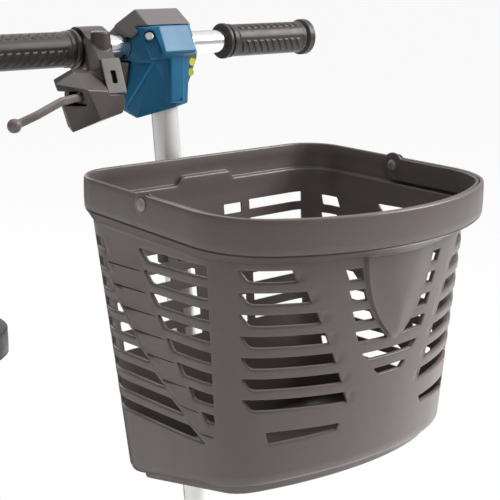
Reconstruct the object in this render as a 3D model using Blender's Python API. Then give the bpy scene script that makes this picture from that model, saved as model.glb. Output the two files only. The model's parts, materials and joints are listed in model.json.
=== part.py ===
# Three-wheeled mobility scooter with a front basket.
# Metres, +Z up. The scooter faces -Y; +X is the rider's left hand side.
# Heights are above the ground. Lengths along Y are first laid out from the
# handlebar's centre line and the whole assembly is then moved by Y_SHIFT, so
# that the origin is under the centre of the overall box.
import bpy
import bmesh
import math
from collections import namedtuple
from mathutils import Vector, Matrix

# ------------------------------------------------------------ driving sizes
GAP = 0.0003             # clearance between fitted pieces
Y_SHIFT = -0.3809
BAR_H = 0.960            # handlebar centre height
BAR_LEN = 0.400          # overall width over the grips
BAR_R = 0.0111
GRIP_LEN = 0.115
GRIP_R = 0.01625
TILLER_SLOPE = 0.1365    # run towards +Y per metre up the tiller
TILLER_Y0 = -0.0135      # tiller centre line at handlebar height
TILLER_R = 0.0127
TILLER_END = 0.390       # lower end of the sliding tube
LOWER_TUBE_R = 0.0160
CLAMP_Z = 0.468          # height clamp
FOLD_Z = 0.330           # tiller fold pin
FOLD_PIN_R = 0.0050
STEER_TILT = 12.0        # head angle, degrees back from vertical
STEM_R = 0.0130          # fork stem
FRONT_R = 0.100          # front wheel radius
FRONT_Y = -0.143
FRONT_RIM_R = 0.062
FRONT_AXLE_R = 0.0060
REAR_R = 0.115           # rear wheel radius
REAR_Y = 0.930
REAR_X = 0.210           # centre of the rear tyres
REAR_RIM_R = 0.070
REAR_AXLE_R = 0.0080
WHEEL_SEG = 24
DECK_Z = 0.125           # lower edge of the floor pan's side
BATTERY_Y = (0.618, 0.764)
BATTERY_Z = (0.1445, 0.330)
SEAT_Y = 0.805           # seat swivel axis
SEAT_UNDER = 0.4175      # underside of the cushion
SEAT_TOP = 0.479
POST_R = 0.0190          # seat post
BACK_PIN_R = 0.0045      # backrest hinge
ARM_X, ARM_Y, ARM_Z = 0.247, 1.040, 0.655    # armrest hinge

# basket: plan outlines of the rim and of the wall's upper and lower edges;
# half widths, back and front ends, corner radii, bow of the front edge
Edge = namedtuple("Edge", "half_back half_front back front r_back r_front bow")
RIM = Edge(0.1427, 0.1455, -0.0779, -0.3467, 0.0377, 0.0383, 0.0558)
WALL_TOP = Edge(0.1380, 0.1395, -0.0832, -0.3320, 0.0345, 0.0330, 0.0555)
WALL_LOW = Edge(0.1239, 0.1239, -0.1178, -0.3173, 0.0340, 0.0300, 0.0437)
RIM_TOP = -0.0940        # heights from the handlebar centre
RIM_LOW = -0.1210
FLOOR_Z = -0.3624        # outer wall's lower edge at y = -0.1
FLOOR_RISE = 0.256       # rise of the floor towards the front
ROW_PITCH = 0.0174       # rows of slots
ROW_0 = -0.1365
SLOT_H = 0.0092
SLOT_OUT, SLOT_IN = 0.007, 0.011    # reach of the slot cutters through the wall

X_AXIS, Y_AXIS, Z_AXIS = Vector((1, 0, 0)), Vector((0, 1, 0)), Vector((0, 0, 1))
SIDES = ((1, "left"), (-1, "right"))

# ------------------------------------------------------------ clean start
for ob in list(bpy.data.objects):
    bpy.data.objects.remove(ob, do_unlink=True)
for old_mesh in list(bpy.data.meshes):
    bpy.data.meshes.remove(old_mesh)
SCENE = bpy.context.scene.collection

# ------------------------------------------------------------ materials
DARK = (0.13, 0.105, 0.10)
BLUE = (0.035, 0.13, 0.23)
GREY = (0.30, 0.29, 0.29)
STEEL = (0.80, 0.80, 0.78)
CHARCOAL = (0.05, 0.05, 0.05)
BLACK = (0.03, 0.03, 0.03)
SOOT = (0.04, 0.04, 0.04)
FABRIC = (0.05, 0.05, 0.055)
TYRE_FINISH = ((0.10, 0.10, 0.10), 0.8)
RIM_FINISH = ((0.45, 0.45, 0.46), 0.35, 0.9)

# material name: (colour, roughness, metallic when not 0)
FINISHES = {
    "bar_steel": (STEEL, 0.18, 1.0),
    "head_blue": (BLUE, 0.35),
    "head_grey": (GREY, 0.45),
    "screw_steel": (STEEL, 0.3, 1.0),
    "gauge_lens": ((0.05, 0.06, 0.06), 0.1),
    "dial_black": (BLACK, 0.5),
    "key_black": (BLACK, 0.4),
    "horn_yellow": ((0.65, 0.60, 0.12), 0.4),
    "throttle_grey": ((0.10, 0.09, 0.085), 0.5),
    "lever_plastic": (DARK, 0.5),
    "cap_plastic": (DARK, 0.5),
    "brake_pin_steel": (STEEL, 0.3, 1.0),
    "lever_black": ((0.07, 0.06, 0.058), 0.5),
    "tiller_steel": (STEEL, 0.2, 1.0),
    "tiller_black": (CHARCOAL, 0.4),
    "clamp_black": (CHARCOAL, 0.45),
    "clamp_lever_steel": ((0.35, 0.35, 0.35), 0.35, 1.0),
    "bracket_black": (CHARCOAL, 0.5),
    "latch_grey": (GREY, 0.45),
    "basket_plastic": (DARK, 0.55),
    "bail_plastic": (DARK, 0.5),
    "fork_black": (CHARCOAL, 0.4),
    "yoke_black": (CHARCOAL, 0.45),
    "fold_pin_steel": (STEEL, 0.3, 1.0),
    "front_tyre_rubber": TYRE_FINISH,
    "front_rim_alloy": RIM_FINISH,
    "axle_steel": (STEEL, 0.3, 1.0),
    "mudguard_black": (CHARCOAL, 0.5),
    "frame_black": (CHARCOAL, 0.4),
    "pan_plastic": ((0.06, 0.058, 0.056), 0.6),
    "mat_rubber": (BLACK, 0.85),
    "cover_blue": (BLUE, 0.35),
    "reflector_red": ((0.45, 0.02, 0.02), 0.15),
    "transaxle_alloy": ((0.35, 0.35, 0.36), 0.5, 0.8),
    "rear_axle_steel": (STEEL, 0.3, 1.0),
    "freewheel_yellow": ((0.65, 0.55, 0.08), 0.45),
    "battery_black": (CHARCOAL, 0.55),
    "handle_black": (BLACK, 0.5),
    "post_steel": ((0.55, 0.55, 0.55), 0.3, 1.0),
    "seat_frame_black": (CHARCOAL, 0.45),
    "lock_black": (BLACK, 0.5),
    "seat_fabric": (FABRIC, 0.8),
    "back_frame_black": (CHARCOAL, 0.45),
    "back_fabric": (FABRIC, 0.8),
}
# the same, for pieces that have one material on each side
PAIRED_FINISHES = {
    "grip_%s_rubber": ((0.06, 0.053, 0.05), 0.55),
    "bail_pin_%s_steel": ((0.10, 0.09, 0.09), 0.4, 0.6),
    "anti_tip_wheel_%s_rubber": (SOOT, 0.7),
    "rear_tyre_%s_rubber": TYRE_FINISH,
    "rear_rim_%s_alloy": RIM_FINISH,
    "arm_black_%s": (CHARCOAL, 0.5),
    "pad_black_%s": (SOOT, 0.7),
}
for _, side_name in SIDES:
    for pattern, finish in PAIRED_FINISHES.items():
        FINISHES[pattern % side_name] = finish


def material(name, colour, roughness, metallic=0.0):
    made = bpy.data.materials.new(name)
    made.use_nodes = True
    inputs = made.node_tree.nodes["Principled BSDF"].inputs
    inputs["Base Color"].default_value = (*colour, 1.0)
    inputs["Roughness"].default_value = roughness
    inputs["Metallic"].default_value = metallic
    return made


PIECES = []              # (object, name of its body)


def piece(name, mesh, finish, where, smooth=35):
    """make the object of one piece; smooth is its sharp edge angle"""
    ob = bpy.data.objects.new(name, mesh)
    mesh.name = name
    SCENE.objects.link(ob)
    mesh.materials.clear()
    mesh.materials.append(material(finish, *FINISHES[finish]))
    mesh.shade_smooth()
    mesh.set_sharp_from_angle(angle=math.radians(smooth))
    PIECES.append((ob, where))


# ------------------------------------------------------------ frames
def axes_frame(x, y, z, origin):
    frame = Matrix((x, y, z)).transposed().to_4x4()
    frame.translation = Vector(origin)
    return frame


def frame_of(origin, axis):
    """local frame with +Z along axis and +X kept (or +Y, for an axis along X)"""
    z = Vector(axis).normalized()
    x = Y_AXIS if abs(z.x) > 0.9 else X_AXIS
    y = z.cross(x).normalized()
    return axes_frame(y.cross(z).normalized(), y, z, origin)


def frame_up(origin, up, out):
    """local frame with +Z along up and +Y towards out"""
    z = Vector(up).normalized()
    y = Vector(out)
    y = (y - z * y.dot(z)).normalized()
    return axes_frame(y.cross(z).normalized(), y, z, origin)


def bar_point(x, y, z):
    """point given from the handlebar's centre"""
    return Vector((x, y, z + BAR_H))


def tiller_y(z):
    return TILLER_Y0 + TILLER_SLOPE * (z - BAR_H)


def axle_height(radius):
    """height that puts a flat of the wheel's polygon on the ground"""
    return radius * math.cos(math.pi / WHEEL_SEG)


BAR_CENTRE = bar_point(0, 0, 0)
FOLD = Vector((0.0, tiller_y(FOLD_Z), FOLD_Z))
FRONT_AXLE = Vector((0.0, FRONT_Y, axle_height(FRONT_R)))
REAR_AXLE = Vector((0.0, REAR_Y, axle_height(REAR_R)))
TILLER_AXIS = Vector((0.0, TILLER_SLOPE, 1.0)).normalized()
STEER_RAD = math.radians(STEER_TILT)
STEER_AXIS = Vector((0.0, math.sin(STEER_RAD), math.cos(STEER_RAD)))
TILLER_TOP = frame_of(bar_point(0, TILLER_Y0, 0), TILLER_AXIS)
STEER = frame_of(FOLD, STEER_AXIS)
CLAMP = frame_of((0, tiller_y(CLAMP_Z), CLAMP_Z), TILLER_AXIS)


# ------------------------------------------------------------ mesh helpers
def closed_mesh(work):
    """mesh of a closed bmesh shape, its faces pointing outwards"""
    bmesh.ops.recalc_face_normals(work, faces=work.faces)
    work.normal_update()
    if work.calc_volume(signed=True) < 0:
        bmesh.ops.reverse_faces(work, faces=work.faces)
    mesh = bpy.data.meshes.new("mesh")
    work.to_mesh(mesh)
    work.free()
    return mesh


def mesh_from(verts, faces):
    mesh = bpy.data.meshes.new("mesh")
    mesh.from_pydata([tuple(v) for v in verts], [], faces)
    work = bmesh.new()
    work.from_mesh(mesh)
    bmesh.ops.remove_doubles(work, verts=work.verts, dist=1e-6)
    return closed_mesh(work)


def circle(radius, sides):
    angles = [2 * math.pi * (k + 0.5) / sides for k in range(sides)]
    return [(radius * math.cos(angle), radius * math.sin(angle)) for angle in angles]


def revolve(profile, sides, origin, axis, closed=False):
    """turn a profile of (radius, height) about an axis; a point on the axis
    becomes a pole, a closed profile makes a ring"""
    frame = frame_of(origin, axis)
    verts, faces, rows = [], [], []
    for radius, height in profile:
        if radius < 1e-9:
            rows.append([len(verts)] * sides)
            verts.append(frame @ Vector((0, 0, height)))
        else:
            rows.append(list(range(len(verts), len(verts) + sides)))
            verts += [frame @ Vector((x, y, height)) for x, y in circle(radius, sides)]
    count = len(rows)
    for i in range(count if closed else count - 1):
        row, above = rows[i], rows[(i + 1) % count]
        for k in range(sides):
            beside = (k + 1) % sides
            corners = (row[k], row[beside], above[beside], above[k])
            faces.append(list(dict.fromkeys(corners)))
    if not closed:
        if profile[0][0] > 1e-9:
            faces.append(rows[0][::-1])
        if profile[-1][0] > 1e-9:
            faces.append(rows[-1])
    return mesh_from(verts, faces)


def rod(start, end, radius, sides=16, chamfer=0.0):
    start, end = Vector(start), Vector(end)
    length = (end - start).length
    profile = [(radius, 0), (radius, length)]
    if chamfer:
        profile = [(radius - chamfer, 0), (radius, chamfer),
                   (radius, length - chamfer), (radius - chamfer, length)]
    return revolve(profile, sides, start, end - start)


def rod_at(centre, low, high, radius, sides=16, axis=X_AXIS, chamfer=0.0):
    """rod along an axis through centre, between two distances from it"""
    centre = Vector(centre)
    return rod(centre + axis * low, centre + axis * high, radius, sides, chamfer)


def rod_in(frame, low, high, radius, sides=16):
    """rod along a frame's Z axis"""
    return moved(rod((0, 0, low), (0, 0, high), radius, sides), frame)


def pipe(start, end, outer, inner, sides):
    start, end = Vector(start), Vector(end)
    length = (end - start).length
    profile = [(inner, 0), (outer, 0), (outer, length), (inner, length)]
    return revolve(profile, sides, start, end - start, closed=True)


def hull(points):
    work = bmesh.new()
    for point in points:
        work.verts.new(Vector(point))
    bmesh.ops.remove_doubles(work, verts=work.verts, dist=1e-7)
    bmesh.ops.convex_hull(work, input=work.verts)
    inside = [v for v in work.verts if not v.link_faces]
    bmesh.ops.delete(work, geom=inside, context='VERTS')
    bmesh.ops.dissolve_limit(work, angle_limit=math.radians(0.5),
                             verts=work.verts, edges=work.edges)
    return closed_mesh(work)


def bar_hull(points):
    """hull of points given from the handlebar's centre"""
    return hull([bar_point(*point) for point in points])


def grown_bar_hull(points, factor):
    """bar_hull of the points spread from their centre"""
    points = [bar_point(*point) for point in points]
    centre = Vector((0, 0, 0))
    for point in points:
        centre += point
    centre /= len(points)
    return hull([centre + (point - centre) * factor for point in points])


def side_plate(x0, x1, outline_yz):
    """convex plate between two X positions"""
    return hull([(x, y, z) for x in (x0, x1) for y, z in outline_yz])


def block(low, high, bevel=0.0, seg=1, axis=None):
    """box between two corners, its edges rounded; axis limits the rounding to
    the edges along that axis"""
    low, high = Vector(low), Vector(high)
    work = bmesh.new()
    bmesh.ops.create_cube(work, size=1.0)
    centre, size = (low + high) / 2, high - low
    for v in work.verts:
        v.co = Vector((centre[i] + v.co[i] * size[i] for i in range(3)))
    if bevel:
        edges = work.edges[:]
        if axis is not None:
            edges = [e for e in edges if abs((e.verts[0].co - e.verts[1].co)[axis]) > 1e-9]
        bmesh.ops.bevel(work, geom=edges, offset=bevel, segments=seg, profile=0.5,
                        affect='EDGES')
    return closed_mesh(work)


def loft(rings):
    """join rings of equal count, each a closed loop of points, and cap the ends"""
    count = len(rings[0])
    verts = [Vector(point) for ring in rings for point in ring]
    faces = []
    for i in range(len(rings) - 1):
        for k in range(count):
            here, beside = i * count + k, i * count + (k + 1) % count
            faces.append([here, beside, beside + count, here + count])
    faces.append(list(range(count))[::-1])
    faces.append([(len(rings) - 1) * count + k for k in range(count)])
    return mesh_from(verts, faces)


def triangulated(mesh):
    work = bmesh.new()
    work.from_mesh(mesh)
    bmesh.ops.triangulate(work, faces=work.faces)
    work.to_mesh(mesh)
    work.free()
    return mesh


def sweep(path, section, up=(0, 0, 1)):
    """carry a flat section of (side, up) pairs along a path, widened at a
    bend so that its faces stay parallel"""
    points = [Vector(point) for point in path]
    steps = [(end - start).normalized() for start, end in zip(points, points[1:])]
    rings = []
    for i, point in enumerate(points):
        before, after = steps[max(i - 1, 0)], steps[min(i, len(steps) - 1)]
        tangent = (after + before).normalized()
        across = tangent.cross(Vector(up)).normalized()
        lift = across.cross(tangent).normalized()
        widen = 1.0 / max(before.dot(tangent), 0.5)
        bend = after - before
        ring = []
        for side, rise in section:
            offset = across * side + lift * rise
            if bend.length > 1e-6:
                inward = bend.normalized()
                offset = offset + inward * offset.dot(inward) * (widen - 1.0)
            ring.append(point + offset)
        rings.append(ring)
    return loft(rings)


def rect(width, height, chamfer=0.0):
    x, y = width / 2, height / 2
    if not chamfer:
        return [(-x, -y), (x, -y), (x, y), (-x, y)]
    x_in, y_in = x - chamfer, y - chamfer
    return [(-x_in, -y), (x_in, -y), (x, -y_in), (x, y_in),
            (x_in, y), (-x_in, y), (-x, y_in), (-x, -y_in)]


def rounded(half_width, y0, y1, r_front, r_back, steps, inset, x_mid=0.0):
    """rectangular plan outline with rounded corners, anticlockwise"""
    x0, x1 = x_mid - half_width + inset, x_mid + half_width - inset
    y0, y1 = y0 + inset, y1 - inset
    r_front, r_back = max(r_front - inset, 0.001), max(r_back - inset, 0.001)
    points = []
    for x, y, radius, start in (
            (x0 + r_front, y0 + r_front, r_front, 180), (x1 - r_front, y0 + r_front, r_front, 270),
            (x1 - r_back, y1 - r_back, r_back, 0), (x0 + r_back, y1 - r_back, r_back, 90)):
        for k in range(steps + 1):
            angle = math.radians(start + 90 * k / steps)
            points.append((x + radius * math.cos(angle), y + radius * math.sin(angle)))
    return points


def slab(plan, levels, inset=0.0):
    """stack a plan outline over levels of (z, inset), all inset further by
    inset; plan gives the outline for an inset"""
    return loft([[(x, y, z) for x, y in plan(step + inset)] for z, step in levels])


def moved(mesh, matrix):
    mesh.transform(matrix)
    return mesh


def boolean(operation, target, tools):
    """combine meshes with the exact solver and return one clean mesh"""
    base = bpy.data.objects.new("tmp_a", target)
    SCENE.objects.link(base)
    helpers = [base]
    for k, tool in enumerate(tools):
        helper = bpy.data.objects.new("tmp_c", tool)
        SCENE.objects.link(helper)
        helper.hide_render = True
        helper.display_type = 'WIRE'
        helpers.append(helper)
        modifier = base.modifiers.new("b%d" % k, 'BOOLEAN')
        modifier.operation = operation
        modifier.solver = 'EXACT'
        modifier.object = helper
    depsgraph = bpy.context.evaluated_depsgraph_get()
    depsgraph.update()
    result = bpy.data.meshes.new_from_object(base.evaluated_get(depsgraph))
    for helper in helpers:
        bpy.data.objects.remove(helper, do_unlink=True)
    work = bmesh.new()
    work.from_mesh(result)
    bmesh.ops.remove_doubles(work, verts=work.verts, dist=2e-6)
    bmesh.ops.dissolve_degenerate(work, edges=work.edges, dist=1e-6)
    work.to_mesh(result)
    work.free()
    return result


def union(first, *others):
    return boolean('UNION', first, others)


def cut(first, *others):
    return boolean('DIFFERENCE', first, others)


def joined(meshes):
    """several separate closed shapes in one mesh, used as one cutter"""
    work = bmesh.new()
    for mesh in meshes:
        work.from_mesh(mesh)
    result = bpy.data.meshes.new("mesh")
    work.to_mesh(result)
    work.free()
    return result


# ============================================================ handlebar
def handlebar_tube():
    half = BAR_LEN / 2 - 0.004
    mesh = pipe(bar_point(-half, 0, 0), bar_point(half, 0, 0), BAR_R, BAR_R - 0.0018, 20)
    piece("handlebar_tube", mesh, "bar_steel", "handlebar")


def grips():
    """rubber sleeves with a thin inner flange, a wide outer flange and an
    end with a small hole"""
    bore, flange_r, end_r, hole_r = BAR_R + 2 * GAP, 0.0174, 0.0183, 0.0040
    profile = [
        (bore, 0.0), (flange_r, 0.0), (flange_r, 0.0035), (GRIP_R, 0.0050),
        (GRIP_R, GRIP_LEN - 0.0115), (end_r, GRIP_LEN - 0.0090), (end_r, GRIP_LEN - 0.0030),
        (0.0155, GRIP_LEN), (hole_r, GRIP_LEN), (hole_r, GRIP_LEN - 0.0035),
        (bore, GRIP_LEN - 0.0035)]
    for side, side_name in SIDES:
        start = bar_point(side * (BAR_LEN / 2 - GRIP_LEN), 0, 0)
        mesh = revolve(profile, 16, start, (side, 0, 0), closed=True)
        piece("grip_" + side_name, mesh, "grip_%s_rubber" % side_name, "handlebar")


# ------------------------------------------------------------ head
# hull points (x, y, z) from the handlebar's centre
SHELL_UPPER = (
    (-0.0163, -0.0355, 0.0205), (0.0163, -0.0355, 0.0205), (-0.0170, -0.0480, -0.0020),
    (0.0170, -0.0480, -0.0020), (-0.0170, -0.0470, -0.0045), (0.0165, -0.0470, -0.0045),
    (-0.0275, -0.0280, 0.0190), (-0.0270, -0.0380, -0.0115), (-0.0310, 0.0035, 0.0180),
    (-0.0320, 0.0035, -0.0140), (0.0240, -0.0295, 0.0190), (0.0285, -0.0360, -0.0060),
    (0.0330, 0.0035, 0.0160), (0.0330, 0.0035, -0.0120))
SHELL_LOWER = (
    (-0.0220, -0.0350, -0.0100), (-0.0370, -0.0105, -0.0560), (-0.0305, -0.0200, -0.0650),
    (0.0000, -0.0400, -0.0545), (0.0160, -0.0370, -0.0520), (0.0000, -0.0400, -0.0010),
    (0.0190, -0.0360, -0.0010), (0.0200, -0.0300, -0.0515), (-0.0290, -0.0110, -0.0080),
    (-0.0345, 0.0035, -0.0580), (0.0230, 0.0035, -0.0450), (0.0290, 0.0035, -0.0080))
COVER_MAIN = (
    (-0.0400, 0.0045, -0.0500), (0.0380, 0.0045, -0.0500), (-0.0360, 0.0045, 0.0195),
    (0.0410, 0.0045, 0.0185), (-0.0340, 0.0300, -0.0460), (0.0340, 0.0300, -0.0460),
    (-0.0360, 0.0360, -0.0180), (0.0360, 0.0360, -0.0180), (-0.0360, 0.0360, -0.0015),
    (0.0360, 0.0360, -0.0015), (-0.0240, 0.0360, 0.0095), (0.0240, 0.0360, 0.0095),
    (-0.0240, 0.0045, 0.0268), (0.0240, 0.0045, 0.0268))
COVER_VISOR = (
    (-0.0240, -0.0090, 0.0345), (0.0240, -0.0090, 0.0345), (-0.0245, -0.0300, 0.0214),
    (0.0240, -0.0300, 0.0212), (-0.0345, -0.0165, 0.0090), (0.0385, -0.0120, 0.0120),
    (-0.0360, 0.0080, 0.0190), (0.0410, 0.0080, 0.0180), (-0.0240, 0.0080, 0.0249),
    (0.0240, 0.0080, 0.0249), (-0.0360, 0.0080, 0.0100), (0.0400, 0.0080, 0.0080))
COVER_LEFT = (
    (0.0405, -0.0205, -0.0095), (0.0300, -0.0205, -0.0355), (0.0235, -0.0190, -0.0355),
    (0.0385, -0.0120, 0.0110), (0.0250, -0.0150, 0.0050), (0.0405, 0.0080, 0.0160),
    (0.0380, 0.0080, -0.0480), (0.0240, 0.0080, -0.0480))
COVER_RIGHT = (
    (-0.0330, -0.0120, -0.0140), (-0.0385, -0.0120, -0.0270), (-0.0400, -0.0100, -0.0350),
    (-0.0360, -0.0090, -0.0420), (-0.0330, -0.0090, -0.0380), (-0.0395, 0.0080, -0.0140),
    (-0.0395, 0.0080, -0.0460), (-0.0330, 0.0080, -0.0460), (-0.0330, 0.0080, -0.0140))

SCREW_FACE = Vector((-0.543, -0.727, 0.421))            # outward, right front facet
SCREW_SEAT = bar_point(-0.0227, -0.0301, 0.0098)        # pocket floor under the screw
THROTTLE_AT = bar_point(0, 0.031, -0.030)
PANEL_Y = 0.036                                         # rider-side face of the cover
DIAL_AT = bar_point(0.000, PANEL_Y, -0.0010)
KEY_AT = bar_point(0.025, PANEL_Y, -0.0020)
HORN_AT = bar_point(-0.023, PANEL_Y, -0.0040)


def head_bar_bore():
    return rod_at(BAR_CENTRE, -0.08, 0.08, BAR_R + GAP, 24)


def head_housing():
    """blue shell clamped round the bar and the tiller top"""
    rib = block(bar_point(-0.0077, -0.0430, -0.0500), bar_point(0.0077, -0.0340, -0.0025), 0.0008)
    mesh = union(bar_hull(SHELL_UPPER), bar_hull(SHELL_LOWER), rib)
    stem = rod_in(TILLER_TOP, -0.12, -0.0110, TILLER_R + GAP, 24)
    pocket = moved(block((-0.0052, 0.0, -0.0215), (0.0052, 0.0200, 0.0058), 0.0030, axis=1),
                   frame_up(SCREW_SEAT, (-0.122, 0.452, 0.883), SCREW_FACE))
    mesh = cut(mesh, head_bar_bore(), stem, pocket)
    piece("head_housing", mesh, "head_blue", "handlebar", 30)


def head_cover():
    """grey rider-side half with its panel, and the visor over the shell"""
    mesh = union(*[bar_hull(part) for part in
                   (COVER_MAIN, COVER_VISOR, COVER_LEFT, COVER_RIGHT)])
    mesh = cut(
        mesh, grown_bar_hull(SHELL_UPPER, 1.025), grown_bar_hull(SHELL_LOWER, 1.022),
        head_bar_bore(),
        rod_at(DIAL_AT, -0.006, 0.010, 0.0045, 12, Y_AXIS),
        rod_at(KEY_AT, -0.006, 0.010, 0.0036, 12, Y_AXIS),
        rod_at(HORN_AT, -0.007, 0.010, 0.0062, 14, Y_AXIS),
        rod_at(THROTTLE_AT - Y_AXIS * 0.001, -0.0045, 0.0045, 0.0150, 16, Z_AXIS))
    piece("head_cover", mesh, "head_grey", "handlebar", 30)


def head_screw():
    """its head rests inside the pocket"""
    profile = [(0.0024, 0.0), (0.0024, 0.0015), (0.0040, 0.0015), (0.0040, 0.0036),
               (0.0032, 0.0043)]
    mesh = revolve(profile, 14, (0, 0, 0), Z_AXIS)
    mesh = moved(mesh, frame_of(SCREW_SEAT + SCREW_FACE * GAP, SCREW_FACE))
    piece("head_screw", mesh, "screw_steel", "handlebar")


def battery_gauge():
    """lens on the sloping top of the cover"""
    mesh = moved(block((-0.015, -0.0045, -0.0012), (0.015, 0.0045, 0.0010), 0.0008),
                 frame_of(bar_point(0.0, 0.0143, 0.0233), (0, 0.4856, 0.8742)))
    piece("battery_gauge", mesh, "gauge_lens", "handlebar")


def speed_dial():
    profile = [(0.0038, -0.0050), (0.0038, 0.0012), (0.0095, 0.0012), (0.0100, 0.0022),
               (0.0092, 0.0105), (0.0080, 0.0115)]
    piece("speed_dial", revolve(profile, 20, DIAL_AT, Y_AXIS), "dial_black", "dial")


def key():
    profile = [(0.0030, -0.0050), (0.0030, 0.0010), (0.0046, 0.0010), (0.0046, 0.0025),
               (0.0028, 0.0025), (0.0028, 0.0060)]
    shank = revolve(profile, 12, KEY_AT, Y_AXIS)
    bow = block(KEY_AT + Vector((-0.0018, 0.0050, -0.0075)),
                KEY_AT + Vector((0.0018, 0.0200, 0.0075)), 0.0012)
    piece("key", union(shank, bow), "key_black", "key_switch")


def horn_button():
    profile = [(0.0056, -0.0050), (0.0056, 0.0035), (0.0045, 0.0048)]
    piece("horn_button", revolve(profile, 16, HORN_AT, Y_AXIS), "horn_yellow", "horn")


def throttle_lever():
    """finger lever with an arm and a pad on each side"""
    arm_path = ((0.0, 0.0045, 0), (0.028, 0.0135, 0), (0.043, 0.0120, -0.002),
                (0.054, 0.000, -0.004))
    # pad corners: x, y, half height
    pad = ((0.046, 0.010, 0.012), (0.061, -0.004, 0.010),
           (0.043, 0.007, 0.012), (0.058, -0.007, 0.010))
    arms, pads = [], []
    for side in (-1, 1):
        arms.append(sweep([THROTTLE_AT + Vector((side * x, y, z)) for x, y, z in arm_path],
                          rect(0.0045, 0.0080, 0.0012)))
        pads.append(hull([THROTTLE_AT + Vector((side * x, y, z))
                          for x, y, half in pad for z in (-half, half)]))
    hub = rod_at(THROTTLE_AT, -0.0040, 0.0040, 0.0080, 14, Z_AXIS)
    piece("throttle_lever", union(hub, *arms, *pads), "throttle_grey", "throttle")


# ------------------------------------------------------------ brake
BRAKE_AT = bar_point(-0.106, -0.0530, -0.036)
BRAKE_PIN_R = 0.0025
# hull points (x, y, z) from the handlebar's centre
LEVER_BOX = (
    (-0.1345, -0.0500, -0.0237), (-0.1277, -0.0500, -0.0426), (-0.1185, -0.0500, -0.0663),
    (-0.1125, -0.0660, -0.0285), (-0.0998, -0.0660, -0.0552), (-0.1150, -0.0480, -0.0152),
    (-0.1060, -0.0480, -0.0158), (-0.0725, -0.0590, -0.0330), (-0.0685, -0.0580, -0.0410),
    (-0.0715, -0.0580, -0.0519), (-0.1270, -0.0340, -0.0215), (-0.1135, -0.0340, -0.0640),
    (-0.1080, -0.0340, -0.0130), (-0.0640, -0.0340, -0.0180), (-0.0630, -0.0340, -0.0500))
LEVER_NECK = (
    (-0.0815, -0.0120, 0.0145), (-0.0600, -0.0120, 0.0145), (-0.0815, -0.0150, -0.0150),
    (-0.0575, -0.0150, -0.0150), (-0.0940, -0.0400, -0.0150), (-0.0620, -0.0400, -0.0160),
    (-0.0860, -0.0480, -0.0115), (-0.0690, -0.0480, -0.0115), (-0.0815, -0.0262, 0.0080),
    (-0.0650, -0.0262, 0.0080), (-0.0960, -0.0400, -0.0500), (-0.0640, -0.0400, -0.0450),
    (-0.0870, -0.0560, -0.0330), (-0.0690, -0.0560, -0.0330))
CAP_FRAME = frame_up(bar_point(-0.0782, -0.0512, -0.0200), (0.0, 0.37, 0.93), (0, -1, 0))


def lever_housing():
    """ring clamp on the bar, upright barrel and hanging box with the lever
    slot"""
    ring = rod_at(BAR_CENTRE, -0.0825, -0.0560, 0.0200)
    barrel = rod(bar_point(-0.0732, -0.0262, -0.0200), bar_point(-0.0732, -0.0262, 0.0172),
                 0.0087, 16, 0.0012)
    mesh = union(bar_hull(LEVER_BOX), bar_hull(LEVER_NECK), barrel, ring)
    bar = rod_at(BAR_CENTRE, -0.2, 0.0, BAR_R + 2 * GAP)
    slot = block(bar_point(-0.1480, -0.0800, -0.0422), bar_point(-0.1165, -0.0300, -0.0298))
    cave = block(bar_point(-0.1175, -0.0622, -0.0422), bar_point(-0.0965, -0.0420, -0.0298))
    pin = rod_at(BRAKE_AT, -0.0104, 0.0104, BRAKE_PIN_R + GAP, 12, Z_AXIS)
    seat = moved(block((-0.0105, 0.0, -0.0170), (0.0105, 0.0200, 0.0160), 0.0012, axis=1),
                 CAP_FRAME)
    mesh = cut(mesh, bar, union(slot, cave), pin, seat)
    piece("lever_housing", mesh, "lever_plastic", "handlebar", 30)


def lever_cap():
    """plate with a narrow window, in its seat on the front of the housing"""
    plate = block((-0.0101, GAP, -0.0166), (0.0101, 0.0034, 0.0156), 0.0010, axis=1)
    window = block((-0.0022, -0.006, -0.007), (0.0026, 0.008, 0.004))
    piece("lever_cap", moved(cut(plate, window), CAP_FRAME), "cap_plastic", "handlebar", 30)


def brake_lever_pin():
    mesh = rod_at(BRAKE_AT, -0.0100, 0.0100, BRAKE_PIN_R, 12, Z_AXIS)
    piece("brake_lever_pin", mesh, "brake_pin_steel", "handlebar")


def brake_lever():
    """blade from the pivot hub out to a ball end"""
    hub = rod_at(BRAKE_AT, -0.0058, 0.0058, 0.0075, 16, Z_AXIS)
    ball = bar_point(-0.1860, -0.0700, -0.0520)
    path = [BRAKE_AT + Vector((-0.004, -0.002, 0)), bar_point(-0.122, -0.0605, -0.0352),
            bar_point(-0.140, -0.0680, -0.0358), bar_point(-0.166, -0.0715, -0.0450), ball]
    blade = sweep(path, rect(0.0050, 0.0072, 0.0014))
    knob = revolve([(0, -0.0062), (0.0034, -0.0053), (0.0055, -0.0030), (0.0062, 0),
                    (0.0055, 0.0030), (0.0034, 0.0053), (0, 0.0062)], 12, ball, Z_AXIS)
    mesh = cut(union(hub, blade, knob),
               rod_at(BRAKE_AT, -0.02, 0.02, BRAKE_PIN_R + GAP, 12, Z_AXIS))
    piece("brake_lever", mesh, "lever_black", "brake")


# ============================================================ tiller
CLAMP_PIN_R = 0.0030
CLAMP_PIN_Y = -0.031             # in the clamp's frame
CLAMP_PIN_AT = CLAMP @ Vector((0, CLAMP_PIN_Y, 0))


def fold_pin_bore():
    return rod_at(FOLD, -0.04, 0.04, FOLD_PIN_R + GAP)


def tiller_upper_tube():
    length = (BAR_H - TILLER_END) / TILLER_AXIS.z
    mesh = pipe((0, 0, -length), (0, 0, -0.0124), TILLER_R, TILLER_R - 0.0020, 20)
    piece("tiller_upper_tube", moved(mesh, TILLER_TOP), "tiller_steel", "handlebar")


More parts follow.
